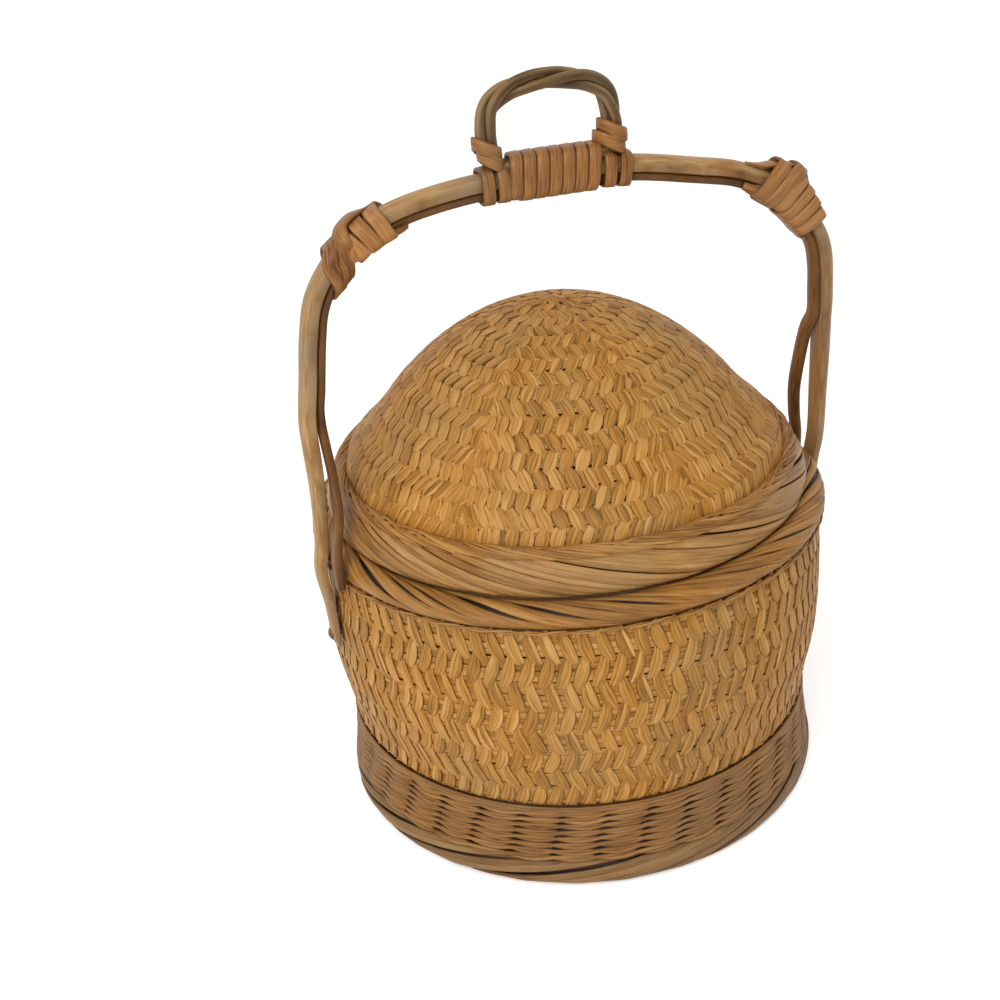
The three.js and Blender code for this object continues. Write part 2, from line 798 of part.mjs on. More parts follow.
add('handle_outer_cane', outerCaneSolid(), caneSkin(), basket);
add('handle_inner_cane', innerCaneSolid(), caneSkin(), basket);
for (const [side, word, corner] of [[-1, 'left', leftCorner], [1, 'right', rightCorner]]) {
  const low = `corner_binding_low_${word}`;
  const cross = `corner_cross_${word}`;
  const high = `corner_binding_high_${word}`;
  const wrap = `end_wrap_${word}`;
  const tie = `loop_tie_${word}`;
  add(`leg_peg_${word}`, legPeg(side), splint(), basket);
  add(low, cornerBinding(low, corner.lowTurns, corner.lowShare), binding(), basket);
  add(cross, cornerCross(cross, corner.crossShare), binding(), basket);
  add(high, cornerBinding(high, corner.highTurns, corner.highShare), binding(), basket);
  add(wrap, endWrap(wrap, side), binding(), basket);
  add(tie, loopTie(tie, side), binding(), basket);
}
add('centre_binding', centreBinding('centre_binding'), binding(), basket);

add('loop_tails', loopTails(), loopCane(), basket);
['a', 'b', 'c'].forEach((letter, i) => {
  const strand = new LaidStrand(2 * Math.PI * i / 3);
  const section = roundSection(loop.strandRadius, cordSides);
  add(`loop_cane_${letter}`, alongCurve(section, strand, loop.steps), loopCane(), basket);
});
add('lid_dome', lidDome(), weave(), lidGroup);
add('lid_border', lidBorder(), border(), lidGroup);
add('lid_braid', lidBraid(), border(), lidGroup);
add('lid_collar', lidCollar(), splint(), lidGroup);

export default placed;
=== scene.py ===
"""Looks of a small round lidded basket of split bamboo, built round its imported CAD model.

The sections follow the basket as it is put together: bowl, foot, mouth, handle, bindings, hanging
loop and lid, and then the place where it stands. Lengths are metres, in the CAD model's own frame.
"""
import math
from functools import partial

import bpy
import numpy as np
from mathutils import Matrix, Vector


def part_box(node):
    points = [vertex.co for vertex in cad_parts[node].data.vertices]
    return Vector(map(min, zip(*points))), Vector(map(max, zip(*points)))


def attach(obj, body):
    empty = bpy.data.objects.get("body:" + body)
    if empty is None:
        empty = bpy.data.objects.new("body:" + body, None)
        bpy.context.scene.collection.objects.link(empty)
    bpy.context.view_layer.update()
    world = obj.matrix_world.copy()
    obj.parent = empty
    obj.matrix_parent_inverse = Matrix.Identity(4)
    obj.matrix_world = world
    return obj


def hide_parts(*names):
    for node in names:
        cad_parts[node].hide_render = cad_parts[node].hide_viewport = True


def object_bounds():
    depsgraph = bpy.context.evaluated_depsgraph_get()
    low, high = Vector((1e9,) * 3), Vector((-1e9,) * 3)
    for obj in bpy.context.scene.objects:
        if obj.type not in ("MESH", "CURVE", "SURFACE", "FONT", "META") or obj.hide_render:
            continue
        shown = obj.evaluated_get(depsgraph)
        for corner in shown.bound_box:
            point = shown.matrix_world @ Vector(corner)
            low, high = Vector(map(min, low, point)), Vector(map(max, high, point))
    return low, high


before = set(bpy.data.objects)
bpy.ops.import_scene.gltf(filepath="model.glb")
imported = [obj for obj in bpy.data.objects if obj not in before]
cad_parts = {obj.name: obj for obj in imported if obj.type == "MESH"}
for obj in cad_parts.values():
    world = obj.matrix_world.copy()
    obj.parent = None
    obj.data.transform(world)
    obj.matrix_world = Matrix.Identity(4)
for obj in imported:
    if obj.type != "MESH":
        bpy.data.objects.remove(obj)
cad_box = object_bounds()
mm = 0.001

# Camera
# It looks down on the basket from the front and a little from the left, and is held slightly
# askew. The handle's right end is turned away from it.
handle_turn = math.radians(17)
camera_pitch = math.radians(26.75)
camera_roll = math.radians(-4.85)
camera_place = (-15 * mm, -305 * mm, 220.5 * mm)
sensor_width = 36
lens = 54

scene = bpy.context.scene
camera_data = bpy.data.cameras.new("camera")
camera_data.sensor_width = sensor_width
camera_data.lens = lens
camera = bpy.data.objects.new("camera", camera_data)
scene.collection.objects.link(camera)
camera.matrix_world = (
    Matrix.Rotation(-handle_turn, 4, "Z")
    @ Matrix.Translation(camera_place)
    @ Matrix.Rotation(math.pi / 2 - camera_pitch, 4, "X")
    @ Matrix.Rotation(camera_roll, 4, "Z")
)
bpy.context.scene.camera = camera

# Bowl wall
# Bundles of two or three fine splints, split from bamboo and woven in three directions: hoops
# that lie level, and two sets that lean to the left and to the right and float over the hoops in
# turn. The weave runs from the waist above the foot to the border at the mouth.
wall_low, wall_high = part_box("bowl_weave")
belly_radius = wall_high.x
wall_shares = [
    [0.993, 1], [0.998, 0.888], [1, 0.732], [0.998, 0.553], [0.988, 0.374], [0.965, 0.217],
    [0.944, 0.083], [0.939, 0.025], [0.924, -0.012], [0.88, -0.012],
]
wall_rows = 8.65
wall_strands = 96
wall_row_taper = 0.07
steps_per_row = 6
hoop_splints = 4
splint_thickness = 0.32 * mm
weave_depth = 0.5 * mm
weave_relief = 0.36 * mm
bundle_width = 2.65 * mm
left_shift = 0.13
hoop_fill_share = 0.95
splint_overlap = 1.12
hoop_swell_share = 0.2
float_middle = 0.63
float_length = 1.17
squeeze_middle = 0.13
squeeze_share = 0.3
push_share = 0.06
float_flatness = 3
weave_shape = {"squareness": 0.45, "width_spread": 0.04, "lift_spread": 0.1}
weave_colours = ("#744708", "#bb8030", "#e3b069", "#a0804f")


def linear(colour):
    """A colour written as #rrggbb, in the linear values that a shader takes."""
    channels = [int(colour[i:i + 2], 16) / 255 for i in (1, 3, 5)]
    return [c / 12.92 if c <= 0.04045 else ((c + 0.055) / 1.055) ** 2.4 for c in channels] + [1]


def node(tree, kind, inputs=(), **settings):
    """Adds a node, with its settings, and with values or links on its inputs."""
    made = tree.nodes.new(kind)
    for name, value in settings.items():
        setattr(made, name, value)
    for socket, value in dict(inputs).items():
        if isinstance(value, bpy.types.NodeSocket):
            tree.links.new(value, made.inputs[socket])
        else:
            made.inputs[socket].default_value = value
    return made


def reckon(tree, operation, *values):
    """One step of arithmetic in a node tree."""
    return node(tree, "ShaderNodeMath", enumerate(values), operation=operation).outputs[0]


def remapped(tree, value, given, wanted):
    """A value brought from one span to another in a node tree, and held within it."""
    ends = zip(("From Min", "From Max", "To Min", "To Max"), (*given, *wanted))
    return node(tree, "ShaderNodeMapRange", {"Value": value, **dict(ends)}).outputs[0]


def tools_of(tree):
    """For one tree, a function that adds a node and one that does a step of arithmetic."""
    return partial(node, tree), partial(reckon, tree)


def kind_of(label):
    """The kind of value that goes by a name on the splints."""
    if label in ("outward", "sideways", "centre", "around", "grain"):
        return "FLOAT_VECTOR"
    return "INT" if label == "splint" else "FLOAT"


def splint_tree():
    """Geometry nodes that lay one flat splint along every line of a mesh. Each point of a line
    says where out and sideways are, and how wide and thick the splint is there."""
    tree = bpy.data.node_groups.new("lay_splints", "GeometryNodeTree")
    add, work = tools_of(tree)
    for label, kind in [
        ("lines", "Geometry"), ("sides", "Int"), ("squareness", "Float"), ("underside", "Float"),
        ("width_spread", "Float"), ("lift_spread", "Float"), ("seed", "Int"),
        ("material", "Material"),
    ]:
        tree.interface.new_socket(label, in_out="INPUT", socket_type=f"NodeSocket{kind}")
    tree.interface.new_socket("Splints", in_out="OUTPUT", socket_type="NodeSocketGeometry")
    given = tree.nodes.new("NodeGroupInput").outputs

    def named(label):
        kind = kind_of(label)
        return add("GeometryNodeInputNamedAttribute", {"Name": label}, data_type=kind).outputs[0]

    def stored(geometry, label, value):
        inputs = {"Geometry": geometry, "Name": label, "Value": value}
        kind = kind_of(label)
        return add("GeometryNodeStoreNamedAttribute", inputs, data_type=kind).outputs[0]

    def drawn(number, low):
        seed = work("ADD", given["seed"], number)
        inputs = {2: low, 3: 1.0, "ID": named("splint"), "Seed": seed}
        return add("FunctionNodeRandomValue", inputs, data_type="FLOAT").outputs[1]

    def scaled(vector, length):
        inputs = {0: vector, "Scale": length}
        return add("ShaderNodeVectorMath", inputs, operation="SCALE").outputs[0]

    def added(first, second):
        return add("ShaderNodeVectorMath", {0: first, 1: second}, operation="ADD").outputs[0]

    place = add("GeometryNodeInputPosition").outputs[0]
    along = add("GeometryNodeSplineParameter").outputs["Length"]
    lines = add("GeometryNodeMeshToCurve", {"Mesh": given["lines"]}).outputs[0]
    lines = stored(lines, "centre", place)
    lines = stored(lines, "along", along)
    ring = add("GeometryNodeCurvePrimitiveCircle", {"Resolution": given["sides"], "Radius": 1.0})
    section = stored(ring.outputs[0], "around", place)
    swept = add("GeometryNodeCurveToMesh", {
        "Curve": lines, "Profile Curve": section, "Fill Caps": True,
    }).outputs[0]

    around = add("ShaderNodeSeparateXYZ", {0: named("around")}).outputs
    squared = []
    for part in around[:2]:
        size = work("POWER", work("ABSOLUTE", part), given["squareness"])
        squared.append(work("MULTIPLY", work("SIGN", part), size))
    across, up = squared
    above = work("MAXIMUM", up, 0.0)
    below = work("MULTIPLY", work("MINIMUM", up, 0.0), given["underside"])
    fuller = work("SUBTRACT", 2.0, given["underside"])
    up = work("MULTIPLY_ADD", above, fuller, below)
    wider = work("MULTIPLY_ADD", drawn(0, -1.0), given["width_spread"], 1.0)
    half_width = work("MULTIPLY", work("MULTIPLY", named("width"), 0.5), wider)
    half_thickness = work("MULTIPLY", named("thickness"), 0.5)
    sideways = work("MULTIPLY", across, half_width)
    lifted = work("MULTIPLY", drawn(1, -1.0), given["lift_spread"])
    outward = work("MULTIPLY", work("ADD", up, lifted), half_thickness)
    moved = added(scaled(named("sideways"), sideways), scaled(named("outward"), outward))
    moved = added(named("centre"), moved)
    laid = add("GeometryNodeSetPosition", {"Geometry": swept, "Position": moved}).outputs[0]
    grain = add("ShaderNodeCombineXYZ", {
        0: named("along"), 1: sideways, 2: drawn(2, 0.0),
    }).outputs[0]
    laid = stored(laid, "grain", grain)
    laid = stored(laid, "edge", work("ABSOLUTE", across))
    smooth = add("GeometryNodeSetShadeSmooth", {"Geometry": laid}).outputs[0]
    real = add("GeometryNodeRealizeInstances", {"Geometry": smooth}).outputs[0]
    done = add("GeometryNodeSetMaterial", {"Geometry": real, "Material": given["material"]})
    tree.links.new(done.outputs[0], tree.nodes.new("NodeGroupOutput").inputs[0])
    return tree


lay_splints = splint_tree()
plain_shape = {
    "sides": 6, "squareness": 0.7, "underside": 1.0, "width_spread": 0.0, "lift_spread": 0.0,
    "seed": 1,
}


def unit(vectors):
    """The same directions, each of length one."""
    return vectors / np.linalg.norm(vectors, axis=1, keepdims=True)


def lay(name, routes, finish, slot, replaced=None, body="basket", **shape):
    """Lays a splint along each route and makes one plain mesh of them, which rides on a body and
    may stand for a node of the CAD model. A route is its points, the outward direction at each,
    and the splint's width and thickness. The shape says what isn't plain about the splints."""
    starts = np.cumsum([0] + [len(route[0]) for route in routes])
    mesh = bpy.data.meshes.new(name)
    mesh.vertices.add(starts[-1])
    mesh.vertices.foreach_set("co", np.concatenate([route[0] for route in routes]).ravel())
    first = np.delete(np.arange(starts[-1]), starts[1:] - 1)
    mesh.edges.add(len(first))
    mesh.edges.foreach_set("vertices", np.stack([first, first + 1], 1).ravel())
    parts = []
    for i, (points, outward, width, thickness) in enumerate(routes):
        ahead = unit(np.gradient(points, axis=0))
        sideways = unit(np.cross(outward, ahead))
        single = [np.broadcast_to(value, len(points)) for value in (width, thickness, i)]
        parts.append([np.cross(ahead, sideways), sideways, *single])
    labels = ["outward", "sideways", "width", "thickness", "splint"]
    for label, values in zip(labels, zip(*parts)):
        attribute = mesh.attributes.new(label, kind_of(label), "POINT")
        key = "vector" if kind_of(label) == "FLOAT_VECTOR" else "value"
        attribute.data.foreach_set(key, np.concatenate(values).ravel())
    piece = bpy.data.objects.new(name, mesh)
    scene.collection.objects.link(piece)
    modifier = piece.modifiers.new("lay_splints", "NODES")
    modifier.node_group = lay_splints
    settings = {**plain_shape, **shape, "material": finish}
    for entry in lay_splints.interface.items_tree:
        if entry.name in settings:
            modifier[entry.identifier] = settings[entry.name]
    evaluated = piece.evaluated_get(bpy.context.evaluated_depsgraph_get())
    made = bpy.data.meshes.new_from_object(evaluated)
    piece.modifiers.clear()
    piece.data = made
    made.name = name
    for label in ["around", "centre", "along", *labels]:
        if label in made.attributes:
            made.attributes.remove(made.attributes[label])
    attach(piece, body)
    if replaced:
        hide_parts(replaced)


def bamboo(name, colours, fibres=3600, roughness=0.5, worn_share=0.5, edge_shade=0.4,
           edge_start=0.8, tone_share=0.3, shine=0.28):
    """Split bamboo or cane: fibres along the splint, each splint of its own tone, and patches that
    have worn grey. Each splint is painted darker towards its edges, as painted shade in the
    grooves between splints. The colours are its dark, its middle, its light and its worn one."""
    dark, middle, light, worn = map(linear, colours)
    material = bpy.data.materials.new(name)
    material.use_nodes = True
    tree = material.node_tree
    add, work = tools_of(tree)
    shader = tree.nodes["Principled BSDF"]
    shader.inputs["Specular IOR Level"].default_value = shine
    grain = add("ShaderNodeAttribute", attribute_name="grain").outputs["Vector"]
    along, across, tone = add("ShaderNodeSeparateXYZ", {0: grain}).outputs
    tone_step = work("MULTIPLY", tone, 61.0)

    def streaks(per_metre_along, per_metre_across, detail):
        place = add("ShaderNodeCombineXYZ", {
            0: work("MULTIPLY", along, per_metre_along),
            1: work("MULTIPLY", across, per_metre_across),
            2: tone_step,
        }).outputs[0]
        inputs = {"Vector": place, "Scale": 1.0, "Detail": detail, "Roughness": 0.6}
        return add("ShaderNodeTexNoise", inputs).outputs["Fac"]

    fibre = streaks(160, fibres, 2.0)
    patch = streaks(70, 260, 2.0)
    place = add("ShaderNodeTexCoord").outputs["Object"]
    stain = add("ShaderNodeTexNoise", {
        "Vector": place, "Scale": 55.0, "Detail": 3.0,
    }).outputs["Fac"]
    patch = work("MULTIPLY", patch, 0.5)
    shade = work("MULTIPLY_ADD", work("SUBTRACT", tone, 0.5), tone_share, patch)
    shade = work("MULTIPLY_ADD", fibre, 0.9, work("SUBTRACT", shade, 0.2))
    ramp = add("ShaderNodeValToRGB", {0: shade})
    stops = ramp.color_ramp.elements
    stops[0].position, stops[0].color = 0.18, dark
    stops[1].position, stops[1].color = 0.86, light
    stops.new(0.5).color = middle
    stain = work("MULTIPLY_ADD", fibre, 0.3, stain)
    wear = remapped(tree, stain, (0.55, 0.9), (0.0, worn_share))
    colour = add("ShaderNodeMix", {0: wear, 6: ramp.outputs[0], 7: worn}, data_type="RGBA")
    edge = add("ShaderNodeAttribute", attribute_name="edge").outputs["Fac"]
    # Painted shade: each splint darkens towards its edges, standing in for the shade in the
    # grooves between splints.
    painted_groove_shade = remapped(tree, edge, (edge_start, 1.0), (1.0, edge_shade))
    shaded = add("ShaderNodeMix", {0: 1.0, 6: colour.outputs[2], 7: painted_groove_shade},
                 data_type="RGBA", blend_type="MULTIPLY")
    tree.links.new(shaded.outputs[2], shader.inputs["Base Color"])
    gloss = remapped(tree, fibre, (0.3, 0.7), (roughness - 0.08, roughness + 0.12))
    tree.links.new(gloss, shader.inputs["Roughness"])
    bump = add("ShaderNodeBump", {"Height": fibre, "Strength": 0.5, "Distance": 0.06 * mm})
    tree.links.new(bump.outputs[0], shader.inputs["Normal"])
    return material


def gaps_along(line):
    """Distances from each point of a line to the next."""
    return np.linalg.norm(np.diff(line, axis=0), axis=1)


def read_off(line, run, at):
    """Places on a line, where the run is given for each of its points."""
    return np.stack([np.interp(at, run, line[:, k]) for k in range(line.shape[1])], -1)


def bowed(wave, power):
    """A wave from -1 to 1, made fuller by a power below one."""
    return np.sign(wave) * np.abs(wave) ** power


def smooth_line(points, steps):
    """Points at equal distances along a smooth line through the given ones."""
    points = np.array(points, float)
    gaps = gaps_along(points) ** 0.5
    knots = np.concatenate([[0], np.cumsum(gaps)])
    slopes = np.diff(points, axis=0) / gaps[:, None]
    wide = (points[2:] - points[:-2]) / (gaps[:-1] + gaps[1:])[:, None]
    tangents = np.concatenate([slopes[:1], slopes[:-1] - wide + slopes[1:], slopes[-1:]])
    fine = np.linspace(0, knots[-1], steps * 8)
    i = np.clip(np.searchsorted(knots, fine, "right") - 1, 0, len(gaps) - 1)
    gap = gaps[i][:, None]
    s = (fine - knots[i])[:, None] / gap
    line = (
        (2 * s ** 3 - 3 * s ** 2 + 1) * points[i] + (s ** 3 - 2 * s ** 2 + s) * gap * tangents[i]
        + (3 * s ** 2 - 2 * s ** 3) * points[i + 1] + (s ** 3 - s ** 2) * gap * tangents[i + 1]
    )
    run = np.concatenate([[0], np.cumsum(gaps_along(line))])
    return read_off(line, run, np.linspace(0, run[-1], steps))


def on_round(profile, reach, angle, lift=0):
    """Places and outward directions on a shape turned round Z. The profile is a line of radius
    and height with its outer side on the left, and reach is the share of the way along it."""
    reach, angle, lift = np.broadcast_arrays(reach, angle, lift)
    share = np.linspace(0, 1, len(profile))
    slope = unit(np.gradient(profile, axis=0))
    out = np.interp(reach, share, -slope[:, 1])
    up = np.interp(reach, share, slope[:, 0])
    radius = np.interp(reach, share, profile[:, 0]) + out * lift
    height = np.interp(reach, share, profile[:, 1]) + up * lift
    east, north = np.cos(angle), np.sin(angle)
    return (
        np.stack([east * radius, north * radius, height], -1),
        np.stack([east * out, north * out, up], -1),
    )


def float_wave(rows):
    """Height of a strand that lies over one row and under the next in turn, from 1 to -1. It
    comes up at a row's start and dives a little past its end."""
    tipped = np.cos(math.pi * (rows - float_middle)) - math.cos(math.pi * float_length / 2)
    return np.tanh(float_flatness * tipped)


def squeeze(rows):
    """From 0 to 1, how close a place is to a row's boundary, where the strands crowd together."""
    return (0.5 + 0.5 * np.cos(math.tau * (rows - squeeze_middle))) ** 2


def bundle(draw, points, outward, width):
    """Splits one strand's route into the splints of its bundle: three fine ones, or a fine one
    beside a broad one, or a single broad one."""
    kinds = [(1, 1, 1), (1, 2), (2, 1), (1,)]
    parts = np.array(kinds[draw.choice(len(kinds), p=(0.56, 0.19, 0.19, 0.06))], float)
    parts /= parts.sum()
    sideways = unit(np.cross(outward, np.gradient(points, axis=0)))
    middles = np.cumsum(parts) - parts / 2 - 0.5
    run = np.linspace(0, 1, len(points))
    routes = []
    for part, middle in zip(parts, middles):
        sway = 0.015 * np.sin(math.tau * (run * draw.uniform(1, 4) + draw.random()))
        aside = (middle + sway) * width
        across = part * width * splint_overlap
        routes.append((points + sideways * aside[:, None], outward, across, splint_thickness))
    return routes


weave_finish = bamboo("weave_bamboo", weave_colours)
wall_height = wall_high.z - wall_low.z
wall_line = smooth_line(
    [(belly_radius * out, wall_low.z + wall_height * up) for out, up in wall_shares], 200,
)
wall_length = gaps_along(wall_line).sum()
wall_pitch = math.tau / wall_strands


def wall_reach(row):
    """Share of the way down the wall at a row, counted from the border."""
    down = row / wall_rows
    return down * (1 + wall_row_taper * (1 - down))


draw = np.random.default_rng(11)
rows_down = np.linspace(0, wall_rows, int(wall_rows * steps_per_row) + 1)
crowding = squeeze(rows_down)
for word, lean, shift in (("right", 1, 0), ("left", -1, left_shift)):
    wave = float_wave(rows_down if lean > 0 else rows_down - 1)
    routes = []
    for i in range(wall_strands):
        sway = 0.06 * np.sin(rows_down * draw.uniform(0.6, 1.4) + draw.uniform(0, 6))
        push = lean * push_share * crowding
        angle = (i + lean * rows_down / 2 - shift + sway + push) * wall_pitch
        lift = weave_relief * wave - weave_depth
        across = bundle_width * (1 - squeeze_share * crowding)
        routes += bundle(draw, *on_round(wall_line, wall_reach(rows_down), angle, lift), across)
    lay(f"wall_splints_{word}", routes, weave_finish, "weave",
        replaced="bowl_weave" if lean > 0 else None, seed=3 + lean, **weave_shape)

routes = []
around = np.linspace(0, math.tau, wall_strands * 4 + 1)
twice_around = np.concatenate([around, around + math.tau])
hoop_width = wall_length / wall_rows * hoop_fill_share / hoop_splints * splint_overlap
for row in range(int(wall_rows)):
    middle = row + 0.5
    lean = 1 if row % 2 == 0 else -1
    over = np.cos(around / wall_pitch * math.tau - lean * middle * math.pi)
    swell = -hoop_swell_share * weave_relief * over
    for k in range(hoop_splints):
        aside = ((k + 0.5) / hoop_splints - 0.5) * hoop_fill_share
        sway = 0.03 * np.sin(around * draw.integers(3, 9) + draw.uniform(0, 6))
        reach = wall_reach(np.clip(middle + aside + sway, 0, wall_rows))
        turned = around + draw.uniform(0, math.tau)
        lift = np.interp(turned, twice_around, np.tile(swell, 2)) - weave_depth
        routes.append((*on_round(wall_line, reach, turned, lift), hoop_width, splint_thickness))
lay("wall_hoops", routes, weave_finish, "weave", seed=7, **weave_shape)

# Bowl base
# The flat bottom of the bowl, woven from the middle outwards in the same splints, in six sectors.
# Its edge turns up into the wall.
base_rings = 14
base_radius = 53.2 * mm
base_depth = 0.65 * mm


def six_sector_weave(draw, rings, profile, reach_of, turn, relief, depth, cross_share=0.7,
                     level_share=0.93, steps=5):
    """Routes of the three sets of splints of a weave that starts at its middle. Laid out flat, the
    strands of a set are parallel lines. In two of the six sectors they follow the rows, and in
    the other four they cross them, over one row and under the next. Their widths are shares of
    the rows' height, one where they cross and another where they follow the rows."""
    length = gaps_along(profile).sum()
    normals = [(math.cos(k * math.pi / 3), math.sin(k * math.pi / 3)) for k in range(3)]
    sets = []
    for k, (east, north) in enumerate(normals):
        routes = []
        for line in range(-rings, rings):
            away = line + 0.5 - left_shift * math.copysign(1, line + 0.5)
            half = (rings - abs(away) / 2) / math.cos(math.pi / 6)
            run = np.linspace(-half, half, int(half * 2 * steps) + 1)
            x = away * east - run * north
            y = away * north + run * east
            heights = np.array([x * e + y * n for e, n in normals])
            sector = np.abs(heights).argmax(0)
            ring = np.abs(heights).max(0)
            rows = ring + left_shift
            side = np.where((k - sector) % 3 == 1, 1.0, -1.0)
            crossing = relief * float_wave(np.where(side > 0, rows - 1, rows))
            beat = math.tau * (away / 2 + run * math.cos(math.pi / 6))
            odd = np.where(np.floor(np.abs(away)) % 2 == 1, 1.0, -1.0)
            level = odd * 0.3 * relief * np.cos(beat)
            past = np.clip((np.abs(run) - math.tan(math.pi / 6) * abs(away)) * 2 + 1, 0, 1)
            blend = past * past * (3 - 2 * past)
            sway = 0.05 * np.sin(run * draw.uniform(0.4, 1.1) + draw.uniform(0, 6))
            reach = np.clip(reach_of(np.maximum(ring + sway, 0)), 0, 1)
            pitch = length * (reach_of(ring + 0.5) - reach_of(ring - 0.5))
            lift = level + (crossing - level) * blend - depth
            crossed = cross_share * (1 - squeeze_share * squeeze(rows))
            across = pitch * (level_share + (crossed - level_share) * blend)
            angle = np.arctan2(y, x) + turn
            routes += bundle(draw, *on_round(profile, reach, angle, lift), across)
        sets.append(routes)
    return sets


base_line = np.stack([
    np.linspace(0, base_radius, 60), np.full(60, wall_low.z + base_depth),
], 1)
draw = np.random.default_rng(17)
base_sets = six_sector_weave(
    draw, base_rings, base_line, lambda ring: ring / base_rings, 0, weave_relief * 0.8, 0, steps=3,
)
for letter, routes in zip("abc", base_sets):
    lay(f"base_splints_{letter}", routes, weave_finish, "weave",
        width_spread=0.1, lift_spread=0.1, seed=19)

# Foot
# A band of fine splints twined in level rows round leaning stakes, with lens-shaped gaps between
# the rows, and two smooth splints along its top. Its bottom edge is a border of broad splints
# wrapped round a core, which the basket stands on. The core is painted nearly black, as painted
# shade that shows between the border's splints.
foot_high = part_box("foot_border")[1]
band_low, band_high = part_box("foot_band")
stake_low, stake_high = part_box("foot_stakes")
band_inset = 1.8 * mm
band_flare_shares = [[1, 0], [0.75, 0.12], [0.5, 0.35], [0.25, 0.65], [0, 1]]
foot_flare = 1.2 * mm
stake_count = 36
stake_width = 2.4 * mm
stake_thickness = 1 * mm
stake_hoop_width = 3.2 * mm
band_lean = 0.05
band_rows = 8
band_top_line = 1.3 * mm
band_top_shares = (0.28, 0.75)
band_splint = 0.5 * mm
band_depth_share = 1.7
band_height_share = 0.57
band_spread_share = 0.26
band_swing = 0.42
band_cross = 0.14
band_steps = 10
foot_splints = 26
foot_sweep = math.radians(72)
foot_core_inset = 1.9 * mm
foot_core_size = (4.6 * mm, 2.4 * mm)
border_splint_thickness = 0.8 * mm
twining_colours = ("#5d3a12", "#9b6b37", "#bf9154", "#886b4b")
foot_colours = ("#5f3d18", "#90693c", "#b38d5a", "#8c7456")
# Nearly black colours for the border cores: painted shade that shows between the wrapped splints.
painted_shade_core_colours = ("#140b04", "#1d1107", "#2a1a0b", "#2a2016")
stake_colours = ("#5d4123", "#8a683f", "#a9854f", "#8b7556")


def ring_route(profile, reach, start=0.0, steps=145, overlap=0.02, lift=0.0):
    """A level ring whose two ends lie side by side, as places and outward directions."""
    angle = start + np.linspace(-overlap, 1 + overlap, steps) * math.tau
    return on_round(profile, np.full(steps, reach), angle, lift)


def lay_ring(name, line, size, *where, **shape):
    """Lays one level ring, half way along a line of radius and height. Its size is its width
    along that line and its thickness."""
    lay(name, [(*ring_route(np.array(line), 0.5), *size)], *where, **shape)


def wrapped_border(draw, profile, count, sweep, reach, width, thickness, steps=22, group=4,
                   group_gap=0.25, rise=0.25 * mm, depth=0.0):
    """Splints that start at the border's inner edge and lie round its outside on a slant. They
    go in groups, with a gap after each, and their tapered ends slip under the next group."""
    routes = []
    first, last = reach
    run = np.linspace(0, 1, steps)
    for i in range(count):
        in_group = i % group
        place = (i - in_group + (in_group + 0.5) * (1 - group_gap / group)) / count
        angle = (place + draw.uniform(-0.06, 0.06) / count) * math.tau + sweep * run
        ease = run ** draw.uniform(0.9, 1.1)
        across = first + (last - first) * ease
        lift = rise * (np.sin(math.pi * run) ** 0.6 - 0.6) + draw.uniform(-0.08, 0.08) * mm
        taper = np.clip(np.minimum(run, 1 - run) * 7, 0.25, 1)
        route = on_round(profile, across, angle, lift - depth)
        routes.append((*route, width * taper * draw.uniform(0.88, 1.1), thickness))
    return routes


twining_finish = bamboo("twining_bamboo", twining_colours, fibres=5200)
foot_finish = bamboo("foot_border_bamboo", foot_colours, fibres=4200)
# The cores' finish is painted shade, not the colour of the cane.
painted_shade_core_finish = bamboo("border_core_painted_shade", painted_shade_core_colours)
stake_finish = bamboo("stake_bamboo", stake_colours)

band_height = band_high.z - band_low.z
band_line = smooth_line([
    (foot_high.x - band_inset + foot_flare * out, band_low.z + band_height * up)
    for up, out in band_flare_shares
], 60)
row_share = (band_height - band_top_line) / band_height / band_rows
strand_size = (band_height * row_share * band_height_share, band_splint * band_depth_share)
stake_pitch = math.tau / stake_count
draw = np.random.default_rng(23)
routes = []
around = np.linspace(0, math.tau, stake_count * band_steps + 1)
for row in range(band_rows):
    middle = band_top_line / band_height + (row + 0.5) * row_share
    beat = around / stake_pitch + band_lean * row
    swing = np.cos(math.pi * beat)
    for side in (1, -1):
        sway = 0.05 * np.sin(around * draw.integers(5, 12) + draw.uniform(0, 6))
        spread = side * band_spread_share * bowed(swing, 0.8)
        reach = np.clip(middle + row_share * (spread + sway), 0, 1)
        lift = (band_swing * np.abs(swing) + band_cross * side * np.sin(math.pi * beat)) * mm
        routes.append((*on_round(band_line, reach, around, lift - strand_size[1] * 0.8),
                       *strand_size))
for share in band_top_shares:
    reach = share * band_top_line / band_height
    route = ring_route(band_line, reach, start=draw.uniform(0, 6), lift=-0.1 * mm)
    routes.append((*route, band_top_line * 0.56, band_splint * 1.3))
lay("foot_twining", routes, twining_finish, "twining", replaced="foot_band",
    width_spread=0.12, lift_spread=0.15, seed=21)

routes = []
stake_radius = stake_high.x - stake_thickness / 2
stake_line = np.array([(stake_radius, stake_high.z), (stake_radius, stake_low.z)])
down = np.linspace(0.1, 1, 8)
for i in range(stake_count):
    angle = (i - band_lean * band_rows * down) * stake_pitch
    routes.append((*on_round(stake_line, down, angle), stake_width, stake_thickness * 0.8))
hoop_route = ring_route(stake_line, 0.09, lift=-stake_thickness * 0.1)
routes.append((*hoop_route, stake_hoop_width, stake_thickness * 0.8))
lay("foot_stakes_split", routes, stake_finish, "splint", replaced="foot_stakes",
    squareness=0.5, width_spread=0.08, seed=22)

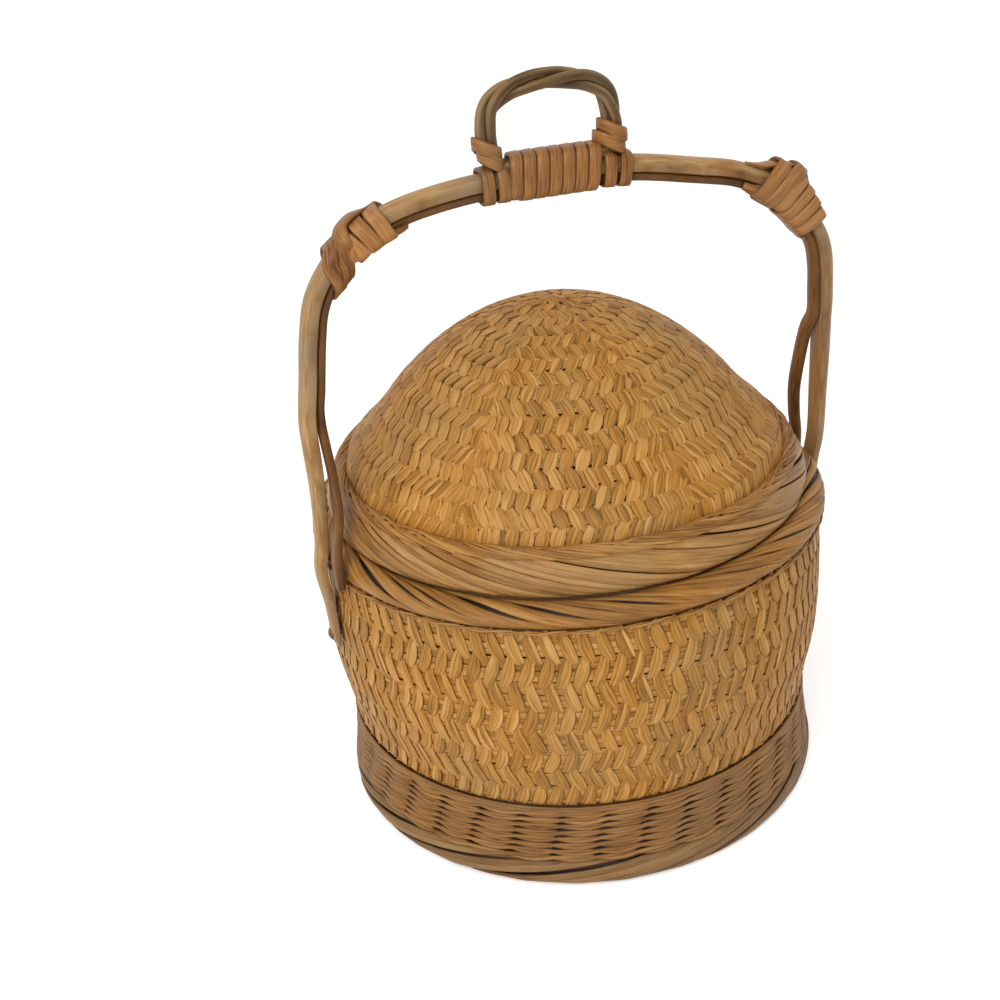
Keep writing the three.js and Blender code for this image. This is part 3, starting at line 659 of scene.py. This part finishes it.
border_top = foot_high.z
foot_section = smooth_line([(foot_high.x - inset * mm, height) for inset, height in [
    (3.2, border_top - 0.9 * mm), (1.6, border_top - 0.1 * mm), (0.45, border_top - 1.3 * mm),
    (0.1, border_top * 0.5), (0.4, 1.1 * mm), (1.5, 0.35 * mm), (3, 0.5 * mm),
]], 80)
draw = np.random.default_rng(29)
routes = wrapped_border(draw, foot_section, foot_splints, -foot_sweep, (0, 1), 1.9 * mm,
                        border_splint_thickness, steps=34, rise=0.3 * mm, depth=0.3 * mm)
lay("foot_border_splints", routes, foot_finish, "border", replaced="foot_border",
    sides=8, squareness=0.6, width_spread=0.1, lift_spread=0.2, seed=31)
# The core is painted nearly black, as painted shade under the foot border's splints.
core_radius = foot_high.x - foot_core_inset
lay_ring("foot_border_core", [(core_radius, border_top), (core_radius, 0)], foot_core_size,
         painted_shade_core_finish, "border", sides=12, squareness=0.8)

# Mouth
# A hoop of broad splint inside the bowl's mouth. The border is bound over it: broad brown splints
# wrapped round a core on a slant, with a thin twisted cord of two strands under them. The core is
# painted nearly black, as painted shade between the splints.
hoop_low, hoop_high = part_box("mouth_hoop")
rim_low, rim_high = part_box("bowl_border")
cord_low, cord_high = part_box("border_cord")
rim_half_width = 3.2 * mm
rim_lean = 1 * mm
rim_splints = 84
rim_sweep = math.radians(66)
rim_splint_width = 1.45 * mm
rim_core_size = (3.9 * mm, 5.2 * mm)
border_shape = {"sides": 8, "squareness": 0.8, "width_spread": 0.14, "lift_spread": 0.25}
hoop_thickness = 1.2 * mm
cord_twists = 34
cord_strand = 0.5 * mm
cord_lay_share = 0.45
border_colours = ("#603509", "#a56f2d", "#cf9c55", "#98774c")


def split_hoop(name, low, high, node_name, body="basket"):
    """An upright hoop of broad splint that fills the box of the node it stands for."""
    radius = high.x - hoop_thickness / 2
    lay_ring(name, [(radius, high.z), (radius, low.z)], (high.z - low.z, hoop_thickness),
             stake_finish, "splint", replaced=node_name, body=body, sides=12, squareness=0.45)


border_finish = bamboo("border_bamboo", border_colours, fibres=4200, roughness=0.42)
rim_centre = np.array([rim_high.x - rim_half_width, (rim_low.z + rim_high.z) / 2])
rim_half_height = (rim_high.z - rim_low.z) / 2
rim_section = np.array([
    rim_centre + (rim_half_width * math.cos(turn) - rim_lean * max(math.sin(turn), 0) ** 2,
                  rim_half_height * math.sin(turn))
    for turn in np.linspace(math.radians(190), math.radians(-135), 100)
])
draw = np.random.default_rng(37)
routes = wrapped_border(draw, rim_section, rim_splints, rim_sweep, (0, 1), rim_splint_width,
                        border_splint_thickness, steps=36, depth=0.42 * mm)
lay("bowl_border_splints", routes, border_finish, "border", replaced="bowl_border",
    seed=41, **border_shape)
# The core is painted nearly black, as painted shade under the bowl border's splints.
rim_up = (0, rim_half_height)
lay_ring("bowl_border_core", [rim_centre + rim_up, rim_centre - rim_up], rim_core_size,
         painted_shade_core_finish, "border", sides=14, squareness=1.0)

cord_radius = cord_high.x - cord_strand
cord_height = (cord_low.z + cord_high.z) / 2
cord_reach = cord_strand * cord_lay_share
around = np.linspace(0, math.tau, cord_twists * 12 + 1)
out = np.stack([np.cos(around), np.sin(around), np.zeros_like(around)], 1)
routes = []
for phase in (0, math.pi):
    twist = around * cord_twists + phase
    radius = cord_radius + cord_reach * np.cos(twist)
    points = out * radius[:, None]
    points[:, 2] = cord_height + cord_reach * np.sin(twist)
    routes.append((points, out, cord_strand, cord_strand))
lay("border_cord_strands", routes, border_finish, "border", replaced="border_cord",
    squareness=1.0, seed=43)

split_hoop("mouth_hoop_split", hoop_low, hoop_high, "mouth_hoop")

# Handle
# Two bent canes nested in one arch: an outer half-round cane, flat inside, which thins towards
# its two feet outside the bowl, and a thin flat inner cane. Below the corners the inner one parts
# from the outer one and ends on the bowl's border. A small peg pins each outer foot.
outer_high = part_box("handle_outer_cane")[1]
leg_reach = 57.73 * mm
foot_reach = 57.9 * mm
rim_height = rim_centre[1]
handle_rise = 73.6 * mm
handle_y = -7 * mm
outer_thickness = 3.4 * mm
outer_depth = 5.2 * mm
inner_thickness = 1.9 * mm
inner_depth = 3.8 * mm
cane_gap = 0.02 * mm
handle_shares = [
    (-0.988, -0.285), (-0.99, -0.147), (-1.003, -0.025), (-0.985, 0.055), (-0.968, 0.211),
    (-0.965, 0.321), (-0.965, 0.439), (-0.943, 0.558), (-0.92, 0.679), (-0.883, 0.784),
    (-0.78, 0.887), (-0.631, 0.956), (-0.373, 0.995), (0, 1), (0.256, 0.989), (0.513, 0.95),
    (0.717, 0.908), (0.89, 0.818), (1.015, 0.683), (1.035, 0.52), (1.031, 0.436), (1.024, 0.21),
    (1.02, 0.058), (1.003, -0.025), (0.99, -0.147), (0.988, -0.285),
]
left_foot_shares = [
    (0.63, 1.75, -0.03), (0.58, 1.65, 0.033), (0, 1.38, 0.092), (-1.05, 0.95, 0.167),
    (-1.6, 0.4, 0.27),
]
right_foot_shares = [
    (0.63, 1.52, -0.03), (0.58, 1.46, 0.033), (0.16, 1.33, 0.098), (-0.26, 1.08, 0.187),
    (-0.37, 0.65, 0.29), (0.1, 0.23, 0.413),
]
foot_thin_share = 0.5
foot_thin_reach = 46 * mm
handle_steps = 260
underside = 0.25
end_round_reach = 1.6 * mm
end_depth_share = 0.86
both_sides = (("left", -1), ("right", 1))
peg_profile = [
    (0, 0.46), (0.4, 0.46), (0.55, 0.46), (0.57, 0.9), (0.6, 1), (0.66, 0.95), (0.72, 0.72),
    (0.76, 0.4), (0.78, 0.12),
]
cane_colours = ("#633b16", "#a2733d", "#cfa974", "#998468")
inner_colours = ("#4a2708", "#845523", "#ab7936", "#8a6840")

cane_finish = bamboo("handle_cane", cane_colours, fibres=2600, roughness=0.38, worn_share=0.8,
                     edge_shade=0.7)
inner_finish = bamboo("inner_cane", inner_colours, fibres=2600, roughness=0.42, edge_shade=0.6)

handle_line = smooth_line(
    [(leg_reach * x, handle_y, rim_height + handle_rise * z) for x, z in handle_shares],
    handle_steps,
)
handle_length = gaps_along(handle_line).sum()
handle_run = np.linspace(0, 1, handle_steps)


def outward_from(points):
    """Outward directions, away from the arch, along a line that runs over it from the left."""
    ahead = np.gradient(points, axis=0)
    return unit(np.stack([-ahead[:, 2], np.zeros(len(ahead)), ahead[:, 0]], 1))


handle_outward = outward_from(handle_line)


def handle_at(share):
    """Places on the joint between the canes, with the outward direction at each."""
    return (
        read_off(handle_line, handle_run, share), read_off(handle_outward, handle_run, share),
    )


from_foot = np.minimum(handle_run, 1 - handle_run) * handle_length
kept = 1 - (1 - foot_thin_share) * np.clip(1 - from_foot / foot_thin_reach, 0, 1)
outer_heights = outer_thickness * kept
points = handle_line + handle_outward * (outer_heights * underside / 2)[:, None]
end_round = np.clip(from_foot / end_round_reach, 0.3, 1) ** 0.5
outer_depths = outer_depth * end_round * (end_depth_share + (1 - end_depth_share) * kept)
lay("outer_cane", [(points, handle_outward, outer_depths, outer_heights * end_round)],
    cane_finish, "cane", replaced="handle_outer_cane", sides=28, squareness=0.8,
    underside=underside, seed=51)


def inner_foot(shares, side):
    """Points of the inner cane's foot, from its end upwards."""
    points = []
    for out, aside, up in shares:
        radius = foot_reach + inner_thickness * out
        y = side * outer_depth * aside + handle_y
        points.append((side * math.sqrt(radius ** 2 - y ** 2), y, rim_height + handle_rise * up))
    return points


nested, nested_outward = handle_at(np.linspace(0.2, 0.8, 31))
nested = nested - nested_outward * (cane_gap + inner_thickness / 2)
inner_line = smooth_line(
    inner_foot(left_foot_shares, -1) + nested.tolist() + inner_foot(right_foot_shares, 1)[::-1],
    handle_steps,
)
lay("inner_cane", [(inner_line, outward_from(inner_line), inner_depth, inner_thickness)],
    inner_finish, "cane", replaced="handle_inner_cane", sides=20, squareness=0.6, seed=52)

for word, side in both_sides:
    peg_low, peg_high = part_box(f"leg_peg_{word}")
    near, far = sorted([abs(peg_low.x), abs(peg_high.x)])
    share, across = np.array(peg_profile).T
    across = across * (peg_high.z - peg_low.z)
    points = np.zeros((len(share), 3))
    points[:, 0] = side * (near + (far - near) * share)
    points[:, 1] = handle_y
    points[:, 2] = (peg_low.z + peg_high.z) / 2
    upward = np.tile((0, 0, 1.0), (len(share), 1))
    lay(f"leg_peg_{word}_turned", [(points, upward, across, across)], inner_finish, "splint",
        replaced=f"leg_peg_{word}", sides=14, squareness=1.0, seed=53)

# Bindings
# Flat cane wound round the two canes to hold them together: at each corner a low winding, a
# crossed strap and a high winding, and over the middle of the bar the centre winding, which also
# holds the ends of the hanging loop. Two plain turns stand at each side of it.
strap_width = 2.8 * mm
strap_thickness = 0.8 * mm
strap_seat = 0.3 * mm + strap_thickness / 2
turn_power = 0.58
turn_steps = 32
end_tuck = 0.8 * mm
end_tuck_turns = 0.14
inner_stack = inner_thickness + 0.3 * mm
tail_height = 2 * mm
winding_overlap = 1.06
binding_colours = ("#5c330d", "#9c6732", "#cb9154", "#94734b")
corner_windings = {
    "low_left": (2, 0.309, 3.1, -0.02, (0, 0)), "high_left": (3, 0.3525, 3.2, 0.008, (0, 0)),
    "low_right": (4, 0.7055, 2.65, 0, (2.6, 0)), "high_right": (2, 0.674, 3.3, -0.006, (2, 4.3)),
}
corner_crosses = {
    "left": [
        (0.363, 2, 3.1), (0.358, 3.2, 2.6), (0.35, 4.5, 1.5), (0.342, 5, 0.5),
        (0.335, 5, -0.9), (0.3325, 4.2, -2.4), (0.3315, 2.8, -3.3), (0.331, 1.6, -3.4),
    ],
    "right": [
        (0.646, 3.3, -0.9), (0.652, 3.5, -0.9), (0.659, 4, -0.6), (0.668, 5.2, 0.1),
        (0.677, 6.3, 0.7), (0.684, 7.4, 0.9), (0.69, 7.8, 0.7), (0.695, 6.8, 0.2),
        (0.7, 5.6, -0.6), (0.705, 4.5, -1.5),
    ],
}
corner_tails = {
    "low_left": [(0.333, 3.2, -3), (0.331, 1.6, -3.3), (0.3285, 0, -3.3), (0.327, -1.2, -3)],
    "high_left": [
        (0.361, -1.8, -2.4), (0.366, -1.9, -2.3), (0.371, -1.9, -2.2), (0.375, -1.7, -2),
    ],
    "high_right": [
        (0.664, -0.6, -2.6), (0.659, -0.9, -2.7), (0.653, -1.2, -2.6), (0.648, -1.1, -2),
    ],
}
tail_width = 2 * mm
cross_widths = {"left": 4.2 * mm, "right": 3.4 * mm}
cross_end_share = 0.35

binding_finish = bamboo("binding_cane", binding_colours, fibres=3200, roughness=0.4)
depth_axis = np.array([0, 1.0, 0])


def wound(turns, where, inwards, outwards):
    """Route of flat cane wound round the handle, from below it to below it again, with its ends
    tucked in. The stack that it binds reaches so far in and out from the canes' joint. The where
    function gives the share of the handle's length from the share of the turns made and the
    angle."""
    angle = math.pi + np.linspace(0, math.tau * turns, int(turns * turn_steps) + 1)
    made = np.linspace(0, 1, len(angle))
    place, outward = handle_at(where(made, angle))
    from_end = np.minimum(made, 1 - made) * turns
    tucked = end_tuck * np.clip(1 - from_end / end_tuck_turns, 0, 1)
    half_up = (inwards + outwards) / 2 + strap_seat
    half_deep = outer_depth / 2 + strap_seat
    up = bowed(np.cos(angle), turn_power) * (half_up - tucked)
    deep = bowed(np.sin(angle), turn_power) * (half_deep - tucked)
    height = (outwards - inwards) / 2 + up
    points = place + outward * height[:, None] + depth_axis * deep[:, None]
    facing = outward * (up / half_up ** 2)[:, None] + depth_axis * (deep / half_deep ** 2)[:, None]
    return points, unit(facing)


def strap_through(path, steps=48):
    """Route of a strap through given places: the share of the handle's length, and how many
    millimetres the place lies outwards and to the back from the canes' joint."""
    places = [(share * handle_length, up * mm, back * mm) for share, up, back in path]
    line = smooth_line(places, steps)
    place, outward = handle_at(line[:, 0] / handle_length)
    half_up = (inner_stack + outer_thickness) / 2
    up_share = (line[:, 1] - (outer_thickness - inner_stack) / 2) / half_up
    back_share = line[:, 2] * 2 / outer_depth
    points = place + outward * line[:, 1:2] + depth_axis * line[:, 2:3]
    facing = outward * (up_share ** 3 / half_up)[:, None]
    facing = facing + depth_axis * (back_share ** 3 * 2 / outer_depth)[:, None]
    return points, unit(facing)


def bind(name, routes, replaced, widths=(strap_width,), seed=61):
    """Lays a strap of flat cane along each of a binding's routes."""
    straps = [(*route, width, strap_thickness) for route, width in zip(routes, widths)]
    lay(name, straps, binding_finish, "binding", replaced=replaced, sides=8,
        squareness=0.5, seed=seed)


for number, (word, (turns, middle, pitch, slant, rise)) in enumerate(corner_windings.items()):
    span = turns * pitch * mm / handle_length
    heights = outer_thickness + np.linspace(rise[0], rise[1], turns * turn_steps + 1) * mm
    routes = [wound(
        turns, lambda made, angle: middle + span * (made - 0.5) - slant * (1 + np.cos(angle)) / 2,
        inner_stack, heights,
    )]
    if word in corner_tails:
        routes.append(strap_through(corner_tails[word]))
    bind(f"winding_{word}", routes, f"corner_binding_{word}",
         (pitch * winding_overlap * mm, tail_width), seed=61 + number)
for number, (word, path) in enumerate(corner_crosses.items()):
    points, outward = strap_through(path)
    along = np.linspace(0, 1, len(points))
    fullness = cross_end_share + (1 - cross_end_share) * np.sin(math.pi * along) ** 0.6
    bind(f"crossed_strap_{word}", [(points, outward)], f"corner_cross_{word}",
         (cross_widths[word] * fullness,), seed=66 + number)


def share_at(x):
    """Share of the handle's length at which the bar passes a place across."""
    bar = (handle_run > 0.2) & (handle_run < 0.8)
    return float(np.interp(x, handle_line[bar, 0], handle_run[bar]))


centre_turns = 7
centre_pitch = 2.75
centre_span = centre_turns * centre_pitch * mm / handle_length
centre_place = -0.8 * mm
end_turn_places = (11.3 * mm, 14.6 * mm)
end_turn_slant = 0.003
middle = share_at(centre_place)
route = wound(
    centre_turns, lambda made, angle: middle + centre_span * (made - 0.5), inner_stack,
    outer_thickness + tail_height,
)
bind("winding_centre", [route], "centre_binding", seed=71)
for word, side in both_sides:
    routes = []
    for x in end_turn_places:
        middle = share_at(centre_place + side * x)
        routes.append(wound(
            1, lambda made, angle: middle + end_turn_slant * (made - 0.5), inner_stack,
            outer_thickness,
        ))
    bind(f"end_turn_{word}", routes, f"end_wrap_{word}", (strap_width, strap_width), seed=73)

# Hanging loop
# Three thin canes laid round each other and bent into a small upright loop. Their ends lie flat
# on the bar under the centre winding, and a collar of flat cane ties each foot of the loop.
loop_half_width = 13.2 * mm
loop_middle = -1.2 * mm
loop_rise = 16 * mm
loop_shares = [
    (-0.45, 0.05), (-0.78, 0.035), (-0.95, 0.1), (-1.01, 0.3), (-1, 0.52), (-0.9, 0.78),
    (-0.62, 0.95), (-0.28, 1), (0, 1), (0.28, 0.99), (0.62, 0.93), (0.9, 0.76), (1.01, 0.52),
    (1.02, 0.3), (0.95, 0.1), (0.78, 0.035), (0.45, 0.05),
]
loop_strand = 2.1 * mm
loop_lay = 1.25 * mm
loop_twists = 1.4
loop_steps = 150
loop_bend_share = 0.085
loop_bend_ease = 0.05
loop_seat = 0.3 * mm
tail_spacing = 1.7 * mm
tail_span_share = 0.6
loop_colours = ("#40290f", "#806038", "#b58e5a", "#7c6d56")
tie_turns = 2
tie_start = 0.088
tie_pitch = 2.5 * mm
tie_tilt = 0.72

loop_finish = bamboo("loop_cane", loop_colours, fibres=2600, worn_share=0.8)
tails_low, tails_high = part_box("loop_tails")
loop_foot = outer_high.z + loop_seat
loop_line = smooth_line([
    (loop_middle + loop_half_width * x, handle_y, loop_foot + loop_rise * z)
    for x, z in loop_shares
], loop_steps)
loop_outward = outward_from(loop_line)
run = np.linspace(0, 1, loop_steps)
risen = np.clip((np.minimum(run, 1 - run) - loop_bend_share) / loop_bend_ease + 0.5, 0, 1)[:, None]
for number, letter in enumerate("abc"):
    angle = math.tau * (loop_twists * run + number / 3)
    round_it = loop_outward * np.cos(angle)[:, None] + depth_axis * np.sin(angle)[:, None]
    beside = depth_axis * tail_spacing * (number - 1) * np.where(run < 0.5, 1, -1)[:, None]
    points = loop_line + round_it * loop_lay * risen + beside * (1 - risen)
    lay(f"laid_cane_{letter}", [(points, loop_outward, loop_strand, loop_strand)], loop_finish,
        "loop_cane", replaced=f"loop_cane_{letter}", sides=12, squareness=0.95, seed=81 + number)

ends = [share_at(corner.x * tail_span_share) for corner in (tails_low, tails_high)]
place, outward = handle_at(np.linspace(*ends, 24))
routes = []
for aside in (-1, 0, 1):
    points = place + outward * (outer_thickness + tail_height / 2)
    points = points + depth_axis * aside * tail_spacing
    routes.append((points, outward, loop_strand, tail_height * 0.8))
lay("loop_cane_ends", routes, loop_finish, "loop_cane", replaced="loop_tails",
    width_spread=0.05, lift_spread=0.1, seed=85)

loop_length = gaps_along(loop_line).sum()
for word, side in both_sides:
    angle = np.linspace(0, math.tau * tie_turns, int(tie_turns * turn_steps))
    climb = tie_start + tie_pitch * angle / math.tau / loop_length
    centre = read_off(loop_line, run, climb if side < 0 else 1 - climb)
    out = np.stack([np.cos(angle), np.sin(angle), np.zeros_like(angle)], 1)
    points = centre + out * (loop_lay + loop_strand / 2 + strap_thickness * 0.5)
    points[:, 2] -= tie_tilt * (points[:, 0] - centre[:, 0])
    bind(f"collar_tie_{word}", [(points, out)], f"loop_tie_{word}", seed=86)

# Lid
# A dome woven like the bowl, but from its crown: splints in three directions that make six
# sectors of rows. A border of broad splints wrapped on a slant is bound round its edge, with thin
# ropey splints where it meets the dome, and a collar inside it drops into the bowl's mouth.
dome_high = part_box("lid_dome")[1]
lid_border_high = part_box("lid_border")[1]
collar_low, collar_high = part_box("lid_collar")
dome_rise = 35 * mm
dome_radius = dome_high.x
dome_shares = [
    (0, 1), (0.205, 0.945), (0.37, 0.862), (0.493, 0.768), (0.6, 0.66), (0.69, 0.548),
    (0.758, 0.45), (0.815, 0.35), (0.865, 0.27), (0.915, 0.2), (0.965, 0.13), (1, 0),
]
dome_rings = 18
ring_crowding = 0.8
dome_turn = -math.pi / 2 - handle_turn
dome_relief = 0.34 * mm
dome_depth = 0.5 * mm
lid_splints = 80
lid_sweep = math.radians(56)
lid_splint_width = 1.5 * mm
braid_splints = 96
braid_sweep = math.radians(27)
lid_edge = [
    (0.962, 77.96), (0.988, 75.75), (1, 73.4), (0.995, 71.6), (0.975, 70.75), (0.95, 70.9),
]
lid_core_size = (7.9 * mm, 1.6 * mm)
lid_border_colours = ("#714413", "#a8763a", "#d0a163", "#9d8159")

dome_line = smooth_line([
    (dome_radius * out, dome_high.z - dome_rise + dome_rise * up) for out, up in dome_shares
], 200)


def dome_reach(ring):
    """Share of the way down the dome at a ring, counted from the crown."""
    share = ring / dome_rings
    return share * (ring_crowding + (1 - ring_crowding) * share)


draw = np.random.default_rng(97)
dome_sets = six_sector_weave(
    draw, dome_rings, dome_line, dome_reach, dome_turn, dome_relief, dome_depth,
)
for number, (letter, routes) in enumerate(zip("abc", dome_sets)):
    lay(f"dome_splints_{letter}", routes, weave_finish, "weave",
        replaced=None if number else "lid_dome", body="lid", seed=91 + number, **weave_shape)

lid_section = smooth_line([
    (dome_radius - 0.4 * mm, lid_border_high.z - 0.5 * mm),
    (lid_border_high.x * 0.935, lid_border_high.z),
    *[(lid_border_high.x * out, height * mm) for out, height in lid_edge],
], 100)
draw = np.random.default_rng(101)
routes = wrapped_border(draw, lid_section, lid_splints, lid_sweep, (0.06, 1), lid_splint_width,
                        border_splint_thickness, steps=26, depth=0.3 * mm)
lid_border_finish = bamboo("lid_border_bamboo", lid_border_colours, fibres=4200, roughness=0.4)
lay("lid_border_splints", routes, lid_border_finish, "border", replaced="lid_border",
    body="lid", seed=103, **border_shape)
# The core is painted nearly black, as painted shade under the lid border's splints.
lay_ring("lid_border_core", [
    (lid_border_high.x * 0.921, lid_border_high.z - 0.9 * mm),
    (lid_border_high.x * 0.961, 71.5 * mm),
], lid_core_size, painted_shade_core_finish, "border", body="lid", sides=12, squareness=0.8)

routes = wrapped_border(draw, lid_section, braid_splints, braid_sweep, (0, 0.27), 0.8 * mm,
                        0.7 * mm, steps=16, group=3, rise=0.45 * mm, depth=-0.2 * mm)
routes += wrapped_border(draw, lid_section, braid_splints // 2, -braid_sweep, (0, 0.2), 0.7 * mm,
                         0.6 * mm, steps=16, group=3, rise=0.4 * mm, depth=-0.15 * mm)
lay("lid_braid_splints", routes, border_finish, "border", replaced="lid_braid", body="lid",
    width_spread=0.15, lift_spread=0.3, seed=107)

split_hoop("lid_collar_split", collar_low, collar_high, "lid_collar", body="lid")

# Place
# The basket stands by itself on a plain white table, in the soft light of a room. The table glows
# a little where the camera sees it, so that it is as white as what lies behind it.
floor_reach = 3.0
floor_colour = "#f4f4f2"
floor_glow = 0.5
room_light = 0.48

scene.view_settings.view_transform = "Standard"
floor_mesh = bpy.data.meshes.new("floor")
floor_mesh.from_pydata(
    [(x * floor_reach, y * floor_reach, 0) for x, y in [(-1, -1), (1, -1), (1, 1), (-1, 1)]],
    [], [(0, 1, 2, 3)],
)
floor = bpy.data.objects.new("floor", floor_mesh)
scene.collection.objects.link(floor)


def seen_straight(tree):
    """1 for rays that come from the camera, or from it by way of gloss or glass, and else 0."""
    seen = node(tree, "ShaderNodeLightPath").outputs
    straight = reckon(tree, "MAXIMUM", seen["Is Camera Ray"], seen["Is Glossy Ray"])
    return reckon(tree, "MAXIMUM", straight, seen["Is Transmission Ray"])


floor_finish = bpy.data.materials.new("floor")
floor_finish.use_nodes = True
tree = floor_finish.node_tree
shader = tree.nodes["Principled BSDF"]
shader.inputs["Base Color"].default_value = linear(floor_colour)
shader.inputs["Roughness"].default_value = 0.9
place = node(tree, "ShaderNodeTexCoord").outputs["Object"]
away = node(tree, "ShaderNodeVectorMath", {0: place}, operation="LENGTH").outputs["Value"]
open_floor = remapped(tree, away, (foot_high.x * 0.93, foot_high.x), (0.0, floor_glow))
glow = node(tree, "ShaderNodeEmission", {
    "Strength": reckon(tree, "MULTIPLY", seen_straight(tree), open_floor),
})
both = node(tree, "ShaderNodeAddShader", {0: shader.outputs[0], 1: glow.outputs[0]})
tree.links.new(both.outputs[0], tree.nodes["Material Output"].inputs["Surface"])
floor_mesh.materials.append(floor_finish)

world = bpy.data.worlds.new("room")
scene.world = world
world.use_nodes = True
tree = world.node_tree
backdrop = tree.nodes["Background"]
strength = remapped(tree, seen_straight(tree), (0.0, 1.0), (room_light, 1.0))
backdrop.inputs["Color"].default_value = (1, 1, 1, 1)
tree.links.new(strength, backdrop.inputs["Strength"])


def lamp(name, place, size, power):
    """A soft square lamp that points at the middle of the basket."""
    data = bpy.data.lights.new(name, "AREA")
    data.size = size
    data.energy = power
    made = bpy.data.objects.new(name, data)
    scene.collection.objects.link(made)
    middle = (cad_box[0] + cad_box[1]) / 2
    made.location = place
    made.rotation_euler = (middle - made.location).to_track_quat("-Z", "Y").to_euler()


lamp("window", place=(-0.6, -0.7, 0.75), size=0.6, power=6.6)
lamp("ceiling", place=(0.35, -0.1, 1.1), size=0.9, power=1.2)
